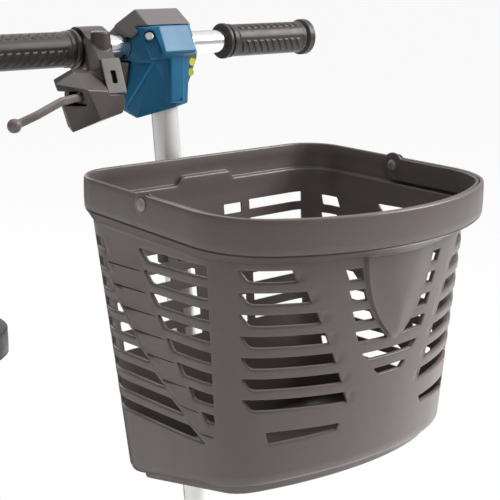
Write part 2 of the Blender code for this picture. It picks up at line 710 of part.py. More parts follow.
def tiller_lower_tube():
    """outer tube with a rounded lug round the fold pin"""
    frame = frame_of(FOLD, TILLER_AXIS)
    tube = rod_in(frame, 0.0, 0.152, LOWER_TUBE_R, 20)
    lug = rod_at(FOLD, -0.0195, 0.0195, 0.0165)
    bore = rod_in(frame, 0.018, 0.200, TILLER_R + GAP, 20)
    mesh = cut(union(tube, lug), bore, fold_pin_bore())
    piece("tiller_lower_tube", mesh, "tiller_black", "tiller")


def height_clamp():
    """split collar with two ears at the front"""
    ring = rod((0, 0, -0.013), (0, 0, 0.0125), 0.0215)
    ears = block((-0.0085, -0.0400, -0.0110), (0.0085, -0.0185, 0.0110), 0.002)
    slit = block((-0.0010, -0.0500, -0.0200), (0.0010, -0.0100, 0.0200))
    hole = rod_at((0, CLAMP_PIN_Y, 0), -0.02, 0.02, CLAMP_PIN_R + GAP, 12)
    bore = rod((0, 0, -0.03), (0, 0, 0.03), LOWER_TUBE_R + 2 * GAP)
    mesh = moved(cut(union(ring, ears), bore, slit, hole), CLAMP)
    piece("height_clamp", mesh, "clamp_black", "tiller")


def height_clamp_lever():
    """pin, cam and hanging arm"""
    pin = rod((-0.0120, 0, 0), (0.0105, 0, 0), CLAMP_PIN_R, 12)
    cam = rod((0.0089, 0, 0), (0.0169, 0, 0), 0.0085)
    # x range, y, z
    corners = (((0.0095, 0.0163), -0.005, 0.006), ((0.0095, 0.0163), 0.005, 0.006),
               ((0.0110, 0.0160), -0.010, -0.048), ((0.0110, 0.0160), -0.002, -0.052))
    arm = hull([(x, y, z) for span, y, z in corners for x in span])
    mesh = moved(union(pin, cam, arm), Matrix.Translation(CLAMP_PIN_AT))
    piece("height_clamp_lever", mesh, "clamp_lever_steel", "clamp_lever")


# ------------------------------------------------------------ basket bracket
# frame on the basket's back wall: +Z up the wall, +Y back to the rider
WALL_RUN = WALL_LOW.back - WALL_TOP.back
WALL_DROP = FLOOR_Z + FLOOR_RISE * 0.0178 - RIM_LOW
WALL_FRAME = frame_of(bar_point(0, WALL_TOP.back + 2 * GAP + 0.0002, RIM_LOW),
                      (0, WALL_RUN / WALL_DROP, 1.0))
LATCH_Z = -0.016                 # latch hole, in the wall's frame


def basket_bracket():
    """ring on the tiller with an arm to a plate that follows the basket's
    back wall"""
    ring = rod_in(TILLER_TOP, -0.205, -0.150, 0.0185)
    plate = moved(block((-0.016, 0.0, -0.105), (0.016, 0.005, 0.0005), 0.0015), WALL_FRAME)
    arm = moved(block((-0.012, 0.004, -0.078), (0.012, 0.048, -0.038)), WALL_FRAME)
    bore = rod_in(TILLER_TOP, -0.30, -0.1, TILLER_R + 2 * GAP)
    hole = moved(rod((0, -0.01, LATCH_Z), (0, 0.03, LATCH_Z), 0.0062, 14), WALL_FRAME)
    mesh = cut(union(plate, arm, ring), bore, hole)
    piece("basket_bracket", mesh, "bracket_black", "handlebar", 30)


def basket_latch():
    """round button in the bracket's hole"""
    profile = [(0.0056, 0.0032), (0.0056, 0.0110), (0.0085, 0.0110), (0.0085, 0.0150),
               (0.0070, 0.0165)]
    mesh = revolve(profile, 16, (0, 0, 0), Y_AXIS)
    mesh = moved(mesh, WALL_FRAME @ Matrix.Translation((0, 0, LATCH_Z)))
    piece("basket_latch", mesh, "latch_grey", "latch")


# ============================================================ basket
def outline(edge, inset=0.0):
    """half outline on the -X side from the back centre to the front centre,
    offset inwards by inset"""
    half_back, half_front = edge.half_back - inset, edge.half_front - inset
    back, front = edge.back - inset, edge.front + inset
    r_back, r_front = max(edge.r_back - inset, 0.004), max(edge.r_front - inset, 0.004)
    bow = edge.bow * (half_front / edge.half_front) ** 2
    points = [(0.0, back)]
    for k in range(13):
        angle = math.radians(90 + 90 * k / 12)
        points.append((-(half_back - r_back) + r_back * math.cos(angle),
                       back - r_back + r_back * math.sin(angle)))
    # the front is an arc; a quadratic curve rounds the corner into it
    radius = (half_front * half_front + bow * bow) / (2 * bow)
    centre_y = front + radius
    x_arc = half_front - r_front
    reach = math.sqrt(radius * radius - x_arc * x_arc)
    y_arc = centre_y - reach
    controls = ((-half_front, front + bow + r_front),
                (-half_front, y_arc + x_arc / reach * r_front), (-x_arc, y_arc))
    for k in range(13):
        t = k / 12
        points.append(tuple((1 - t) ** 2 * start + 2 * t * (1 - t) * mid + t * t * end
                            for start, mid, end in zip(*controls)))
    for k in range(1, 17):
        x = -x_arc * (1 - k / 16)
        points.append((x, centre_y - math.sqrt(radius * radius - x * x)))
    return points


def along(points, fractions):
    """points at fractions of the length of an open line"""
    dist = [0.0]
    for start, end in zip(points, points[1:]):
        dist.append(dist[-1] + math.hypot(start[0] - end[0], start[1] - end[1]))
    found = []
    for fraction in fractions:
        want = fraction * dist[-1]
        k = 0
        while k < len(dist) - 2 and dist[k + 1] < want:
            k += 1
        t = (want - dist[k]) / (dist[k + 1] - dist[k])
        found.append((points[k][0] * (1 - t) + points[k + 1][0] * t,
                      points[k][1] * (1 - t) + points[k + 1][1] * t))
    return found


# stations on the half outline, as fractions from the back to the front centre
STATIONS = [0.0, 0.225, 0.251, 0.277, 0.303, 0.329, 0.355, 0.635,
            0.655, 0.675, 0.695, 0.715, 0.740, 0.805, 0.870, 0.935, 1.0]
WALL_TOP_LINE = outline(WALL_TOP)
WALL_LOW_LINE = outline(WALL_LOW)


def floor_z(y):
    return FLOOR_Z + FLOOR_RISE * (-y - 0.1)


def loop(edge, inset, height, on_floor=False):
    """full closed ring of points at a height, or at a height over the floor"""
    half = along(outline(edge, inset), STATIONS)
    full = half + [(-x, y) for x, y in half[-2:0:-1]]
    return [bar_point(x, y, (floor_z(y) if on_floor else 0.0) + height) for x, y in full]


def wall_point(u, height, push=0.0):
    """point of the outer wall at perimeter fraction u (0 to 2, 1 at the front
    centre) and a height, pushed outwards by push"""
    def unpushed(u):
        half_u = 2 - u if u > 1 else u
        top = along(WALL_TOP_LINE, [half_u])[0]
        low = along(WALL_LOW_LINE, [half_u])[0]
        t = (height - RIM_LOW) / (floor_z(low[1]) - RIM_LOW)
        x, y = top[0] * (1 - t) + low[0] * t, top[1] * (1 - t) + low[1] * t
        return Vector((-x if u > 1 else x, y, height))
    point = unpushed(u)
    if not push:
        return bar_point(*point)
    tangent = (unpushed(min(u + 0.01, 2.0)) - unpushed(max(u - 0.01, 0.0))).normalized()
    normal = Vector((tangent.y, -tangent.x, 0))
    if normal.dot(point - Vector((0, -0.21, height))) < 0:
        normal = -normal
    return bar_point(*(point + normal * push))


def slot_cutter(top, low, steps):
    """curved bar through the wall; its top and low edges are (start fraction,
    end fraction, start height, end height)"""
    rings = []
    for k in range(steps + 1):
        t = k / steps
        upper, lower = [(u0 + (u1 - u0) * t, z0 + (z1 - z0) * t) for u0, u1, z0, z1 in (top, low)]
        rings.append([wall_point(*upper, SLOT_OUT), wall_point(*lower, SLOT_OUT),
                      wall_point(*lower, -SLOT_IN), wall_point(*upper, -SLOT_IN)])
    return loft(rings)


def slot_pair(top, low, steps):
    """a slot on the -X half and its mirror image"""
    mirrored = [(2 - u0, 2 - u1, z0, z1) for u0, u1, z0, z1 in (top, low)]
    return [slot_cutter(top, low, steps), slot_cutter(*mirrored, steps)]


def u_at_y(y):
    """perimeter fraction of the straight side wall at depth y, half height"""
    low, high = 0.34, 0.66
    for _ in range(24):
        mid = (low + high) / 2
        if wall_point(mid, -0.20).y > y:
            low = mid
        else:
            high = mid
    return low


def row_z(k, y):
    """top of row k on the side wall, rising towards the front"""
    return ROW_0 - ROW_PITCH * k - 0.05 * (max(min(y, -0.11), -0.26) + 0.26)


def rear_fan_y(z):
    """front boundary of the rear fan of side slots"""
    t = max((-0.139 - z) / 0.144, 0.0)
    return -0.115 - (0.045 * t + 0.0373 * t * t + 0.0427 * t ** 3)


def front_fan_y(z):
    """back boundary of the front fan of side slots"""
    t = max((-0.141 - z) / 0.118, 0.0)
    return -0.181 - (0.020 * t + 0.043 * t * t)


def shield_u(z):
    """edge of the smooth front shield, as a fraction up to the centre"""
    t = min(max((-0.124 - z) / 0.080, 0.0), 1.0)
    return 0.916 + 0.018 * t + 0.062 * t ** 3.2


def slots():
    """cutters for all the wall openings"""
    made = []
    u_back = 0.335
    for k in range(9):                      # rear fan on the side
        z_back = row_z(k, -0.12)
        z_end = row_z(k, rear_fan_y(z_back))
        u_top = max(u_at_y(rear_fan_y(z_end + 0.002)), 0.341)
        u_low = max(u_at_y(rear_fan_y(z_end - SLOT_H - 0.001)), 0.352)
        made += slot_pair((u_back, u_top, z_back, z_end),
                          (u_back + 0.004, u_low, z_back - SLOT_H, z_end - SLOT_H), 1)
    for k in range(8):                      # front fan on the side
        z_front = row_z(k, -0.26)
        y_back = front_fan_y(z_front - 0.003)
        z_back = row_z(k, y_back)
        u_top, u_low = u_at_y(y_back), u_at_y(y_back - 0.007 + 0.0006 * k)
        u_front = u_at_y(-0.2610 + 0.0004 * k)
        made += slot_pair((u_top, u_front, z_back, z_front),
                          (u_low, u_front, z_back - SLOT_H, z_front - SLOT_H), 1)
    for k in range(7):                      # front, beside the shield
        z = ROW_0 - ROW_PITCH * k
        u_end = 0.798 + 0.104 * (k / 6) ** 0.8
        made += slot_pair((0.706 - 0.001 * k, u_end - 0.008, z, z),
                          (0.722 - 0.001 * k, u_end, z - SLOT_H, z - SLOT_H), 3)
    # lowest slot at the front
    made += slot_pair((0.742, 0.884, -0.2685, -0.2675), (0.746, 0.880, -0.2770, -0.2720), 3)
    for k in range(4):                      # short steps next to the shield
        z = ROW_0 - 0.003 - ROW_PITCH * k
        z_low = z - SLOT_H
        made += slot_pair((0.884 + 0.009 * k, shield_u(z) - 0.004, z, z),
                          (0.892 + 0.009 * k, shield_u(z_low) - 0.004, z_low, z_low), 1)
    # two slots across the front centre
    made.append(slot_cutter((0.928, 1.072, -0.2110, -0.2110), (0.944, 1.056, -0.2170, -0.2170), 3))
    made.append(slot_cutter((0.958, 1.042, -0.2262, -0.2262), (0.972, 1.028, -0.2318, -0.2318), 2))
    for k in range(7):                      # back wall, each side of the bracket
        z = ROW_0 - ROW_PITCH * k
        made += slot_pair((0.118, 0.205, z, z), (0.118, 0.205, z - SLOT_H, z - SLOT_H), 1)
    return made


BAIL_AT = bar_point(0, -0.190, -0.1015)
BAIL_HOLE_R = 0.0032 + GAP


def basket_body():
    """one skin: underside, outer wall, rim, inner wall and floor"""
    # (inset, height over the floor line)
    outer = ((0.0130, -0.0080), (0.0115, -0.0005), (0.0060, 0.0), (0.0, 0.0080))
    inner = ((0.0030, 0.0090), (0.0090, 0.0030), (0.0155, 0.0030), (0.0165, -0.0050))
    # (edge, inset, height)
    rim_levels = (
        (WALL_TOP, 0.0, RIM_LOW + 0.0005), (RIM, 0.0, RIM_LOW), (RIM, 0.0, RIM_TOP - 0.0010),
        (RIM, 0.0010, RIM_TOP), (RIM, 0.0040, RIM_TOP), (RIM, 0.0040, RIM_LOW + 0.0035),
        (RIM, 0.0086, RIM_LOW + 0.0035), (WALL_TOP, 0.0036, RIM_LOW - 0.0010))
    rings = [loop(WALL_LOW, *level, on_floor=True) for level in outer]
    rings += [loop(*level) for level in rim_levels]
    rings += [loop(WALL_LOW, *level, on_floor=True) for level in inner]
    # round holes for the bail pins in both rim sides
    pin_x = 0.1436
    holes = [rod_at(BAIL_AT, side * (pin_x - 0.010), side * (pin_x + 0.010), BAIL_HOLE_R, 10)
             for side in (-1, 1)]
    mesh = cut(triangulated(loft(rings)), joined(slots()), joined(holes))
    piece("basket_body", mesh, "basket_plastic", "basket", 40)


BAIL_OUTER, BAIL_INNER = 0.0048, 0.0078     # insets of the strap's faces in the rim


def bail_end_x(inset):
    """x of the strap's -X face at the pin's depth"""
    (x_front, y_front), (x_back, y_back) = along(outline(RIM, inset), [0.50, 0.42])
    return x_front + (x_back - x_front) * (BAIL_AT.y - y_front) / (y_back - y_front)


def basket_bail():
    """flat strap lying inside the rim along its front half, with an ear
    round the pin at each end"""
    pin_y = BAIL_AT.y
    stations = [k / 100 for k in range(46, 62, 4)]
    stations += [0.63, 0.65, 0.668, 0.686, 0.704, 0.722, 0.742, 0.80, 0.86, 0.92, 1.0]
    outer = along(outline(RIM, BAIL_OUTER), stations)
    inner = along(outline(RIM, BAIL_INNER), stations)
    x_out, x_in = bail_end_x(BAIL_OUTER), bail_end_x(BAIL_INNER)
    pairs = [((x_out, pin_y), (x_in, pin_y)),
             ((x_out - 0.0001, pin_y - 0.012), (x_in - 0.0001, pin_y - 0.012))]
    pairs += [pair for pair in zip(outer, inner) if pair[0][1] < pin_y - 0.013]
    pairs += [((-xo, yo), (-xi, yi)) for (xo, yo), (xi, yi) in pairs[-2::-1]]
    low, high = BAIL_AT.z - BAR_H - 0.0135, BAIL_AT.z - BAR_H + 0.0060
    rings = []
    for k, (out, inn) in enumerate(pairs):
        z = low + (0.0015 if k in (0, len(pairs) - 1) else 0.0)
        rings.append([bar_point(*out, z), bar_point(*out, high),
                      bar_point(*inn, high), bar_point(*inn, z)])
    ears = [rod_at(BAIL_AT, side * abs(x_in), side * abs(x_out), 0.0125, 14) for side in (-1, 1)]
    holes = [rod_at(BAIL_AT, side * 0.12, side * 0.16, BAIL_HOLE_R, 10) for side in (-1, 1)]
    mesh = cut(union(loft(rings), *ears), joined(holes))
    piece("basket_bail", mesh, "bail_plastic", "bail", 40)


def bail_pins():
    """headed at both ends, the outer head just outside the rim face"""
    start = abs(bail_end_x(BAIL_INNER)) - GAP - 0.0020
    length = 0.1456 - start
    head_r, pin_r = 0.0048, 0.0030
    profile = [(head_r, 0.0004), (head_r, 0.0020), (pin_r, 0.0020), (pin_r, length),
               (head_r, length), (head_r, length + 0.0010)]
    for side, side_name in SIDES:
        mesh = revolve(profile, 10, (side * start, BAIL_AT.y, BAIL_AT.z), (side, 0, 0))
        piece("bail_pin_" + side_name, mesh, "bail_pin_%s_steel" % side_name, "basket")


# ============================================================ wheels
def tyre(centre, radius, width, rim_radius, name, where):
    """closed ring with a small flat tread"""
    half, mid_r = width / 2, radius * 0.5 + rim_radius * 0.5
    profile = [(rim_radius, -half * 0.66), (mid_r, -half), (radius - 0.010, -half * 0.93),
               (radius, -half * 0.45), (radius, half * 0.45), (radius - 0.010, half * 0.93),
               (mid_r, half), (rim_radius, half * 0.66)]
    mesh = revolve(profile, WHEEL_SEG, centre, X_AXIS, closed=True)
    piece(name, mesh, name + "_rubber", where)


def rim(centre, rim_radius, width, bore, hub_radius, hub_half, name, where):
    """hub, thin disc with four holes, and the seat under the tyre"""
    half, disc = width / 2, 0.006
    radius = rim_radius - GAP
    disc_r = radius - 0.012
    profile = [(bore, -hub_half), (hub_radius, -hub_half), (hub_radius + 0.004, -disc),
               (disc_r, -disc), (radius, -half), (radius, half), (disc_r, disc),
               (hub_radius + 0.004, disc), (hub_radius, hub_half), (bore, hub_half)]
    wheel = revolve(profile, WHEEL_SEG, centre, X_AXIS, closed=True)
    hole_ring_r = (hub_radius + 0.002 + disc_r) / 2
    hole_r = (disc_r - hub_radius - 0.002) / 2 * 0.78
    holes = []
    for k in range(4):
        angle = 2 * math.pi * k / 4 + 0.3
        spot = centre + Vector((0, hole_ring_r * math.cos(angle), hole_ring_r * math.sin(angle)))
        holes.append(rod_at(spot, -0.03, 0.03, hole_r, 6))
    piece(name, cut(wheel, joined(holes)), name + "_alloy", where)


def front_wheel():
    tyre(FRONT_AXLE, FRONT_R, 0.055, FRONT_RIM_R, "front_tyre", "front_wheel")
    rim(FRONT_AXLE, FRONT_RIM_R, 0.038, FRONT_AXLE_R + GAP, 0.018, 0.0385,
        "front_rim", "front_wheel")


def rear_wheels():
    for side, side_name in SIDES:
        centre = REAR_AXLE + X_AXIS * (side * REAR_X)
        where = "rear_wheel_" + side_name
        tyre(centre, REAR_R, 0.060, REAR_RIM_R, "rear_tyre_" + side_name, where)
        rim(centre, REAR_RIM_R, 0.040, REAR_AXLE_R + GAP, 0.020, 0.0220,
            "rear_rim_" + side_name, where)


# ============================================================ steering
def front_fork():
    """stem, crown and two legs, one welded piece"""
    stem = rod_in(STEER, -0.120, -0.0345, STEM_R, 20)
    crown = moved(block((-0.050, -0.018, -0.1215), (0.050, 0.018, -0.1110)), STEER)
    leg_x = 0.0445
    legs = []
    for side in (-1, 1):
        path = [STEER @ Vector((side * leg_x, 0, -0.117)),
                FRONT_AXLE + Vector((side * leg_x, -0.004, 0.050)),
                FRONT_AXLE + Vector((side * leg_x, 0, -0.016))]
        legs.append(sweep(path, rect(0.009, 0.028, 0.003), up=Y_AXIS))
    mesh = cut(union(stem, crown, *legs), rod_at(FRONT_AXLE, -0.08, 0.08, FRONT_AXLE_R + GAP))
    piece("front_fork", mesh, "fork_black", "steering", 30)


def steering_yoke():
    """base with a blind bore on top of the stem, and two cheeks"""
    base = moved(block((-0.0285, -0.021, -0.0400), (0.0285, 0.021, -0.0215), 0.003), STEER)
    cheek = ((-0.019, -0.024), (0.019, -0.024), (0.015, 0.008),
             (0.008, 0.0155), (-0.008, 0.0155), (-0.015, 0.008))
    cheeks = [moved(side_plate(side * 0.0200, side * 0.0275, cheek), STEER) for side in (-1, 1)]
    socket = rod_in(STEER, -0.06, -0.0280, STEM_R + GAP, 20)
    mesh = cut(union(base, *cheeks), socket, fold_pin_bore())
    piece("steering_yoke", mesh, "yoke_black", "steering", 30)


def fold_pin():
    profile = [(0.0075, 0), (0.0085, 0.001), (0.0085, 0.005), (FOLD_PIN_R, 0.005),
               (FOLD_PIN_R, 0.0625), (0.0070, 0.0625), (0.0070, 0.0660)]
    mesh = revolve(profile, 16, FOLD - X_AXIS * 0.0330, X_AXIS)
    piece("fold_pin", mesh, "fold_pin_steel", "steering")


def front_axle():
    profile = [(0.0085, 0), (0.0095, 0.001), (0.0095, 0.0060), (FRONT_AXLE_R, 0.0060),
               (FRONT_AXLE_R, 0.1050), (0.0090, 0.1050), (0.0090, 0.1110)]
    mesh = revolve(profile, 16, FRONT_AXLE - X_AXIS * 0.0555, X_AXIS)
    piece("front_axle", mesh, "axle_steel", "steering")


def front_mudguard():
    """arched channel over the tyre"""
    # (x, radius from the axle): outer face, then inner face
    section = ((-0.0335, 0.1030), (-0.0330, 0.1075), (-0.0200, 0.1120), (0.0200, 0.1120),
               (0.0330, 0.1075), (0.0335, 0.1030), (0.0315, 0.1030), (0.0310, 0.1060),
               (0.0190, 0.1100), (-0.0190, 0.1100), (-0.0310, 0.1060), (-0.0315, 0.1030))
    rings = []
    for k in range(11):
        angle = math.radians(36 + 108 * k / 10)
        rings.append([FRONT_AXLE + Vector((x, -math.cos(angle) * r, math.sin(angle) * r))
                      for x, r in section])
    piece("front_mudguard", loft(rings), "mudguard_black", "steering", 40)


# ============================================================ chassis
TIP_AT = Vector((0.060, 1.085, 0.036))      # left anti-tip wheel's arm end
TIP_AXLE_R = 0.0040
FREEWHEEL_AT = Vector((0.120, REAR_Y + 0.030, 0.190))


def main_frame():
    """head tube, neck, spine, cross members, seat socket and tail"""
    head_tube = rod_in(STEER, -0.1085, -0.0420, 0.0210)
    neck = sweep([STEER @ Vector((0, 0.006, -0.075)), (0, -0.005, 0.252), (0, 0.030, 0.175),
                  (0, 0.048, 0.104), (0, 0.120, 0.1035)],
                 rect(0.040, 0.034, 0.006), up=(0, 0.3, 1))
    spine = block((-0.030, 0.080, 0.0860), (0.030, 0.868, 0.1210), 0.005, axis=1)
    cross = [block((-0.165, y - 0.014, 0.0900), (0.165, y + 0.014, 0.1180), 0.003, axis=0)
             for y in (0.160, 0.560)]
    socket = rod_at((0, SEAT_Y, 0), 0.100, 0.345, 0.0250, 18, Z_AXIS)
    gusset = side_plate(-0.004, 0.004, ((SEAT_Y, 0.119), (SEAT_Y - 0.037, 0.119), (SEAT_Y, 0.200)))
    # tail: plates before and behind the axle, joined by two arms, and a bent
    # arm with a stub axle to each anti-tip wheel
    front_plate = block((-0.080, 0.845, 0.0765), (0.080, 0.866, 0.1100))
    back_plate = block((-0.080, 1.022, 0.0760), (0.080, 1.040, 0.0910))
    arms = [block((x - 0.008, 0.850, 0.0765), (x + 0.008, 1.035, 0.0905)) for x in (-0.070, 0.070)]
    hub_axis = (0, TIP_AT.y, TIP_AT.z)
    for side in (-1, 1):
        x = side * 0.060
        arms.append(sweep([(x, 1.025, 0.0830), (x, 1.055, 0.0740), (x, TIP_AT.y, TIP_AT.z)],
                          rect(0.007, 0.018), up=(0, 0.2, 1)))
        arms.append(rod_at(hub_axis, side * 0.0565, side * 0.0635, 0.0110))
        arms.append(rod_at(hub_axis, x, side * 0.0800, TIP_AXLE_R, 12))
    mesh = union(head_tube, neck, spine, *cross, socket, gusset, front_plate, back_plate, *arms)
    stem = rod_in(STEER, -0.20, 0.02, STEM_R + 2 * GAP, 20)
    post = rod_at((0, SEAT_Y, 0), 0.1600, 0.400, POST_R + 2 * GAP, 18, Z_AXIS)
    piece("main_frame", cut(mesh, stem, post), "frame_black", "chassis", 30)


def anti_tip_wheels():
    bore, radius, width = TIP_AXLE_R + GAP, 0.0240, 0.014
    profile = [(bore, 0.0), (radius, 0.0), (radius, width), (bore, width)]
    for side, side_name in SIDES:
        start = (side * (TIP_AT.x + 0.0045), TIP_AT.y, TIP_AT.z)
        mesh = revolve(profile, 16, start, (side, 0, 0), closed=True)
        piece("anti_tip_wheel_" + side_name, mesh, "anti_tip_wheel_%s_rubber" % side_name,
              "anti_tip_" + side_name)


def deck_plan(inset):
    """floor outline, narrow at the front with chamfered shoulders"""
    nose, wide = 0.105 - inset, 0.180 - inset
    front, shoulder, back = 0.068 + inset, 0.165, 0.608 - inset
    half = [(0.0, front), (nose - 0.03, front), (nose - 0.008, front + 0.006),
            (nose, front + 0.022), (wide - 0.030, shoulder - 0.030), (wide - 0.006, shoulder),
            (wide, shoulder + 0.030), (wide, back - 0.020), (wide - 0.006, back - 0.006),
            (wide - 0.020, back), (0.0, back)]
    return half + [(-x, y) for x, y in half[-2:0:-1]]


def floor_pan():
    mesh = slab(deck_plan, [(DECK_Z - 0.0036, 0.004), (DECK_Z, 0.0), (DECK_Z + 0.012, 0.0),
                            (DECK_Z + 0.0155, 0.0035)])
    piece("floor_pan", mesh, "pan_plastic", "chassis", 40)


def floor_mat():
    mesh = slab(deck_plan, [(DECK_Z + 0.0158, 0.0), (DECK_Z + 0.0175, 0.0),
                            (DECK_Z + 0.0190, 0.001)], inset=0.012)
    piece("floor_mat", mesh, "mat_rubber", "chassis", 40)


def rear_cover():
    """hollow cover over the transaxle with a wing above each rear wheel"""
    def core_plan(inset):
        return rounded(0.176, 0.835, 1.050, 0.030, 0.045, 3, inset)

    def wing_plan(inset):
        return rounded(0.256, 0.838, 1.040, 0.045, 0.055, 3, inset)
    wall = 0.0035
    outer = union(slab(core_plan, [(0.130, 0.0), (0.330, 0.0), (0.352, 0.022)]),
                  slab(wing_plan, [(0.262, 0.0), (0.304, 0.0), (0.330, 0.022)]))
    core_hollow = slab(core_plan, [(0.120, 0.0), (0.328, 0.0), (0.348, 0.022)], wall)
    wing_hollow = slab(wing_plan, [(0.250, 0.0), (0.302, 0.0), (0.3265, 0.022)], wall)
    mesh = cut(outer, union(core_hollow, wing_hollow))
    lever_slot = block((0.108, 1.030, 0.180), (0.132, 1.070, 0.232))
    piece("rear_cover", cut(mesh, lever_slot), "cover_blue", "chassis", 30)


def rear_reflector():
    mesh = block((-0.055, 1.0503, 0.215), (0.055, 1.0560, 0.245), 0.002)
    piece("rear_reflector", mesh, "reflector_red", "chassis")


def transaxle():
    """gear case round the axle, motor behind it"""
    case = rod_at(REAR_AXLE, -0.040, 0.040, 0.0480, 20)
    tubes = rod_at(REAR_AXLE, -0.165, 0.165, 0.0200)
    motor = rod_at((0, 0.985, 0.190), -0.030, 0.120, 0.0380, 20)
    link = block((-0.028, 0.930, 0.120), (0.038, 0.990, 0.205))
    feet = [block((x - 0.009, 0.915, 0.0909), (x + 0.009, 0.945, 0.1100)) for x in (-0.070, 0.070)]
    bore = rod_at(REAR_AXLE, -0.3, 0.3, REAR_AXLE_R + GAP, 20)
    lever_bore = rod_at(FREEWHEEL_AT, -0.016, 0.010, 0.0040 + GAP, 12)
    mesh = cut(union(case, tubes, motor, link, *feet), bore, lever_bore)
    piece("transaxle", mesh, "transaxle_alloy", "chassis", 30)


def rear_axle():
    mesh = rod_at(REAR_AXLE, -0.250, 0.250, REAR_AXLE_R, 20, chamfer=0.001)
    piece("rear_axle", mesh, "rear_axle_steel", "chassis")


def freewheel_lever():
    """shaft in the motor and an arm out through the back of the cover"""
    shaft = rod_at(FREEWHEEL_AT, -0.012, 0.004, 0.0040, 12)
    path = [FREEWHEEL_AT + Vector((0.003, y, z)) for y, z in ((0, 0), (0.030, 0.012),
                                                              (0.115, 0.012))]
    arm = sweep(path, rect(0.005, 0.014, 0.002), up=(0, 0.1, 1))
    hub = rod_at(FREEWHEEL_AT, 0.0006, 0.0055, 0.0095, 14)
    piece("freewheel_lever", union(hub, shaft, arm), "freewheel_yellow", "freewheel")


# ------------------------------------------------------------ battery
BATTERY_MID_Y = sum(BATTERY_Y) / 2
BATTERY_HINGE = Vector((0, BATTERY_MID_Y, BATTERY_Z[1] + 0.010))


def battery_box():
    """box with two lugs for the handle on its lid"""
    def plan(inset):
        return rounded(0.150, *BATTERY_Y, 0.022, 0.022, 3, inset)
    low, high = BATTERY_Z
    box = slab(plan, [(low, 0.004), (low + 0.004, 0.0), (high - 0.012, 0.0), (high, 0.010)])
    y = BATTERY_HINGE.y
    lugs = [block((x - 0.004, y - 0.008, high - 0.002), (x + 0.004, y + 0.008, high + 0.018))
            for x in (-0.062, 0.062)]
    mesh = cut(union(box, *lugs), rod_at(BATTERY_HINGE, -0.08, 0.08, 0.0035 + GAP, 12))
    piece("battery_box", mesh, "battery_black", "battery", 40)


def battery_handle():
    """bow lying forward on the lid"""
    # (x, y) from the hinge's centre
    path = ((-0.052, 0), (-0.052, -0.030), (-0.046, -0.046), (-0.030, -0.052),
            (0.030, -0.052), (0.046, -0.046), (0.052, -0.030), (0.052, 0))
    bow = sweep([BATTERY_HINGE + Vector((x, y, 0)) for x, y in path],
                rect(0.0075, 0.0075, 0.002))
    ends = [rod_at(BATTERY_HINGE, side * 0.0665, side * 0.0520, 0.0032, 12) for side in (-1, 1)]
    piece("battery_handle", union(bow, *ends), "handle_black", "battery_handle")


# ============================================================ seat
LOCK_AT = Vector((0.100, SEAT_Y + 0.02, 0.393))
LOCK_PIN_R = 0.0035
BACK_AT = Vector((0, 1.040, 0.541))         # backrest hinge
BACK_FRAME = Matrix.Translation(BACK_AT) @ Matrix.Rotation(-math.radians(8), 4, 'X')


def seat_post():
    """tube-sized post with a spigot on top"""
    profile = [(POST_R, 0.1605), (POST_R, 0.3725), (0.0120, 0.3725), (0.0120, 0.3965),
               (0.0110, 0.3975)]
    piece("seat_post", revolve(profile, 18, (0, SEAT_Y, 0), Z_AXIS), "post_steel", "chassis")


def seat_frame():
    """plate with the swivel boss, cross rail, armrest posts and hinge lugs"""
    plate = block((-0.140, SEAT_Y - 0.150, 0.4110), (0.140, SEAT_Y + 0.170, 0.4170), 0.012, 2, 2)
    boss = rod_at((0, SEAT_Y, 0), 0.3730, 0.4120, 0.0270, 18, Z_AXIS)
    rail = rod((-ARM_X, ARM_Y, 0.4190), (ARM_X, ARM_Y, 0.4190), 0.0110, 12)
    legs = [block((x - 0.010, 0.940, 0.4080), (x + 0.010, 1.040, 0.4168), 0.002)
            for x in (-0.080, 0.080)]
    arm_hinge = (0, ARM_Y, ARM_Z)
    lug = ((1.026, 0.415), (1.054, 0.415), (1.054, 0.546), (1.046, 0.554), (1.034, 0.554),
           (1.026, 0.546))
    posts, lugs, arm_holes = [], [], []
    for side in (-1, 1):
        x = side * ARM_X
        posts.append(sweep([(x, ARM_Y, 0.412), (x, ARM_Y, 0.540), (x, ARM_Y, ARM_Z)],
                           circle(0.0105, 10), up=Y_AXIS))
        posts.append(rod_at(arm_hinge, side * (ARM_X - 0.0120), side * (ARM_X + 0.0110),
                            0.0140, 14))
        lugs.append(side_plate(side * 0.135 - 0.0035, side * 0.135 + 0.0035, lug))
        arm_holes.append(rod_at(arm_hinge, side * (ARM_X - 0.02), side * (ARM_X + 0.02),
                                0.0047 + GAP, 12))
    bore = rod_at((0, SEAT_Y, 0), 0.36, 0.3985, 0.0122 + GAP, 18, Z_AXIS)
    back_hole = rod_at(BACK_AT, -0.16, 0.16, BACK_PIN_R + GAP, 14)
    lock_hole = rod_at(LOCK_AT, 0.002, 0.040, LOCK_PIN_R + GAP, 12, Z_AXIS)
    mesh = cut(union(plate, boss, rail, *legs, *posts, *lugs),
               bore, back_hole, joined(arm_holes), lock_hole)
    piece("seat_frame", mesh, "seat_frame_black", "seat", 30)


def seat_lock_lever():
    """flat lever under the plate on a short pin"""
    pin = rod_at(LOCK_AT, 0.006, 0.0238, LOCK_PIN_R, 12, Z_AXIS)
    bar = block(LOCK_AT + Vector((-0.060, -0.007, 0.0080)),
                LOCK_AT + Vector((0.092, 0.007, 0.0130)), 0.002)
    knob = block(LOCK_AT + Vector((0.080, -0.010, 0.0040)),
                 LOCK_AT + Vector((0.118, 0.010, 0.0170)), 0.004)
    piece("seat_lock_lever", union(bar, pin, knob), "lock_black", "seat_lock")


def seat_cushion():
    def plan(inset):
        return rounded(0.200, 0.605, 1.000, 0.085, 0.045, 5, inset)
    mesh = slab(plan, [(SEAT_UNDER, 0.006), (SEAT_UNDER + 0.008, 0.0), (SEAT_TOP - 0.018, 0.0),
                       (SEAT_TOP - 0.005, 0.006), (SEAT_TOP, 0.022)])
    piece("seat_cushion", mesh, "seat_fabric", "seat", 60)


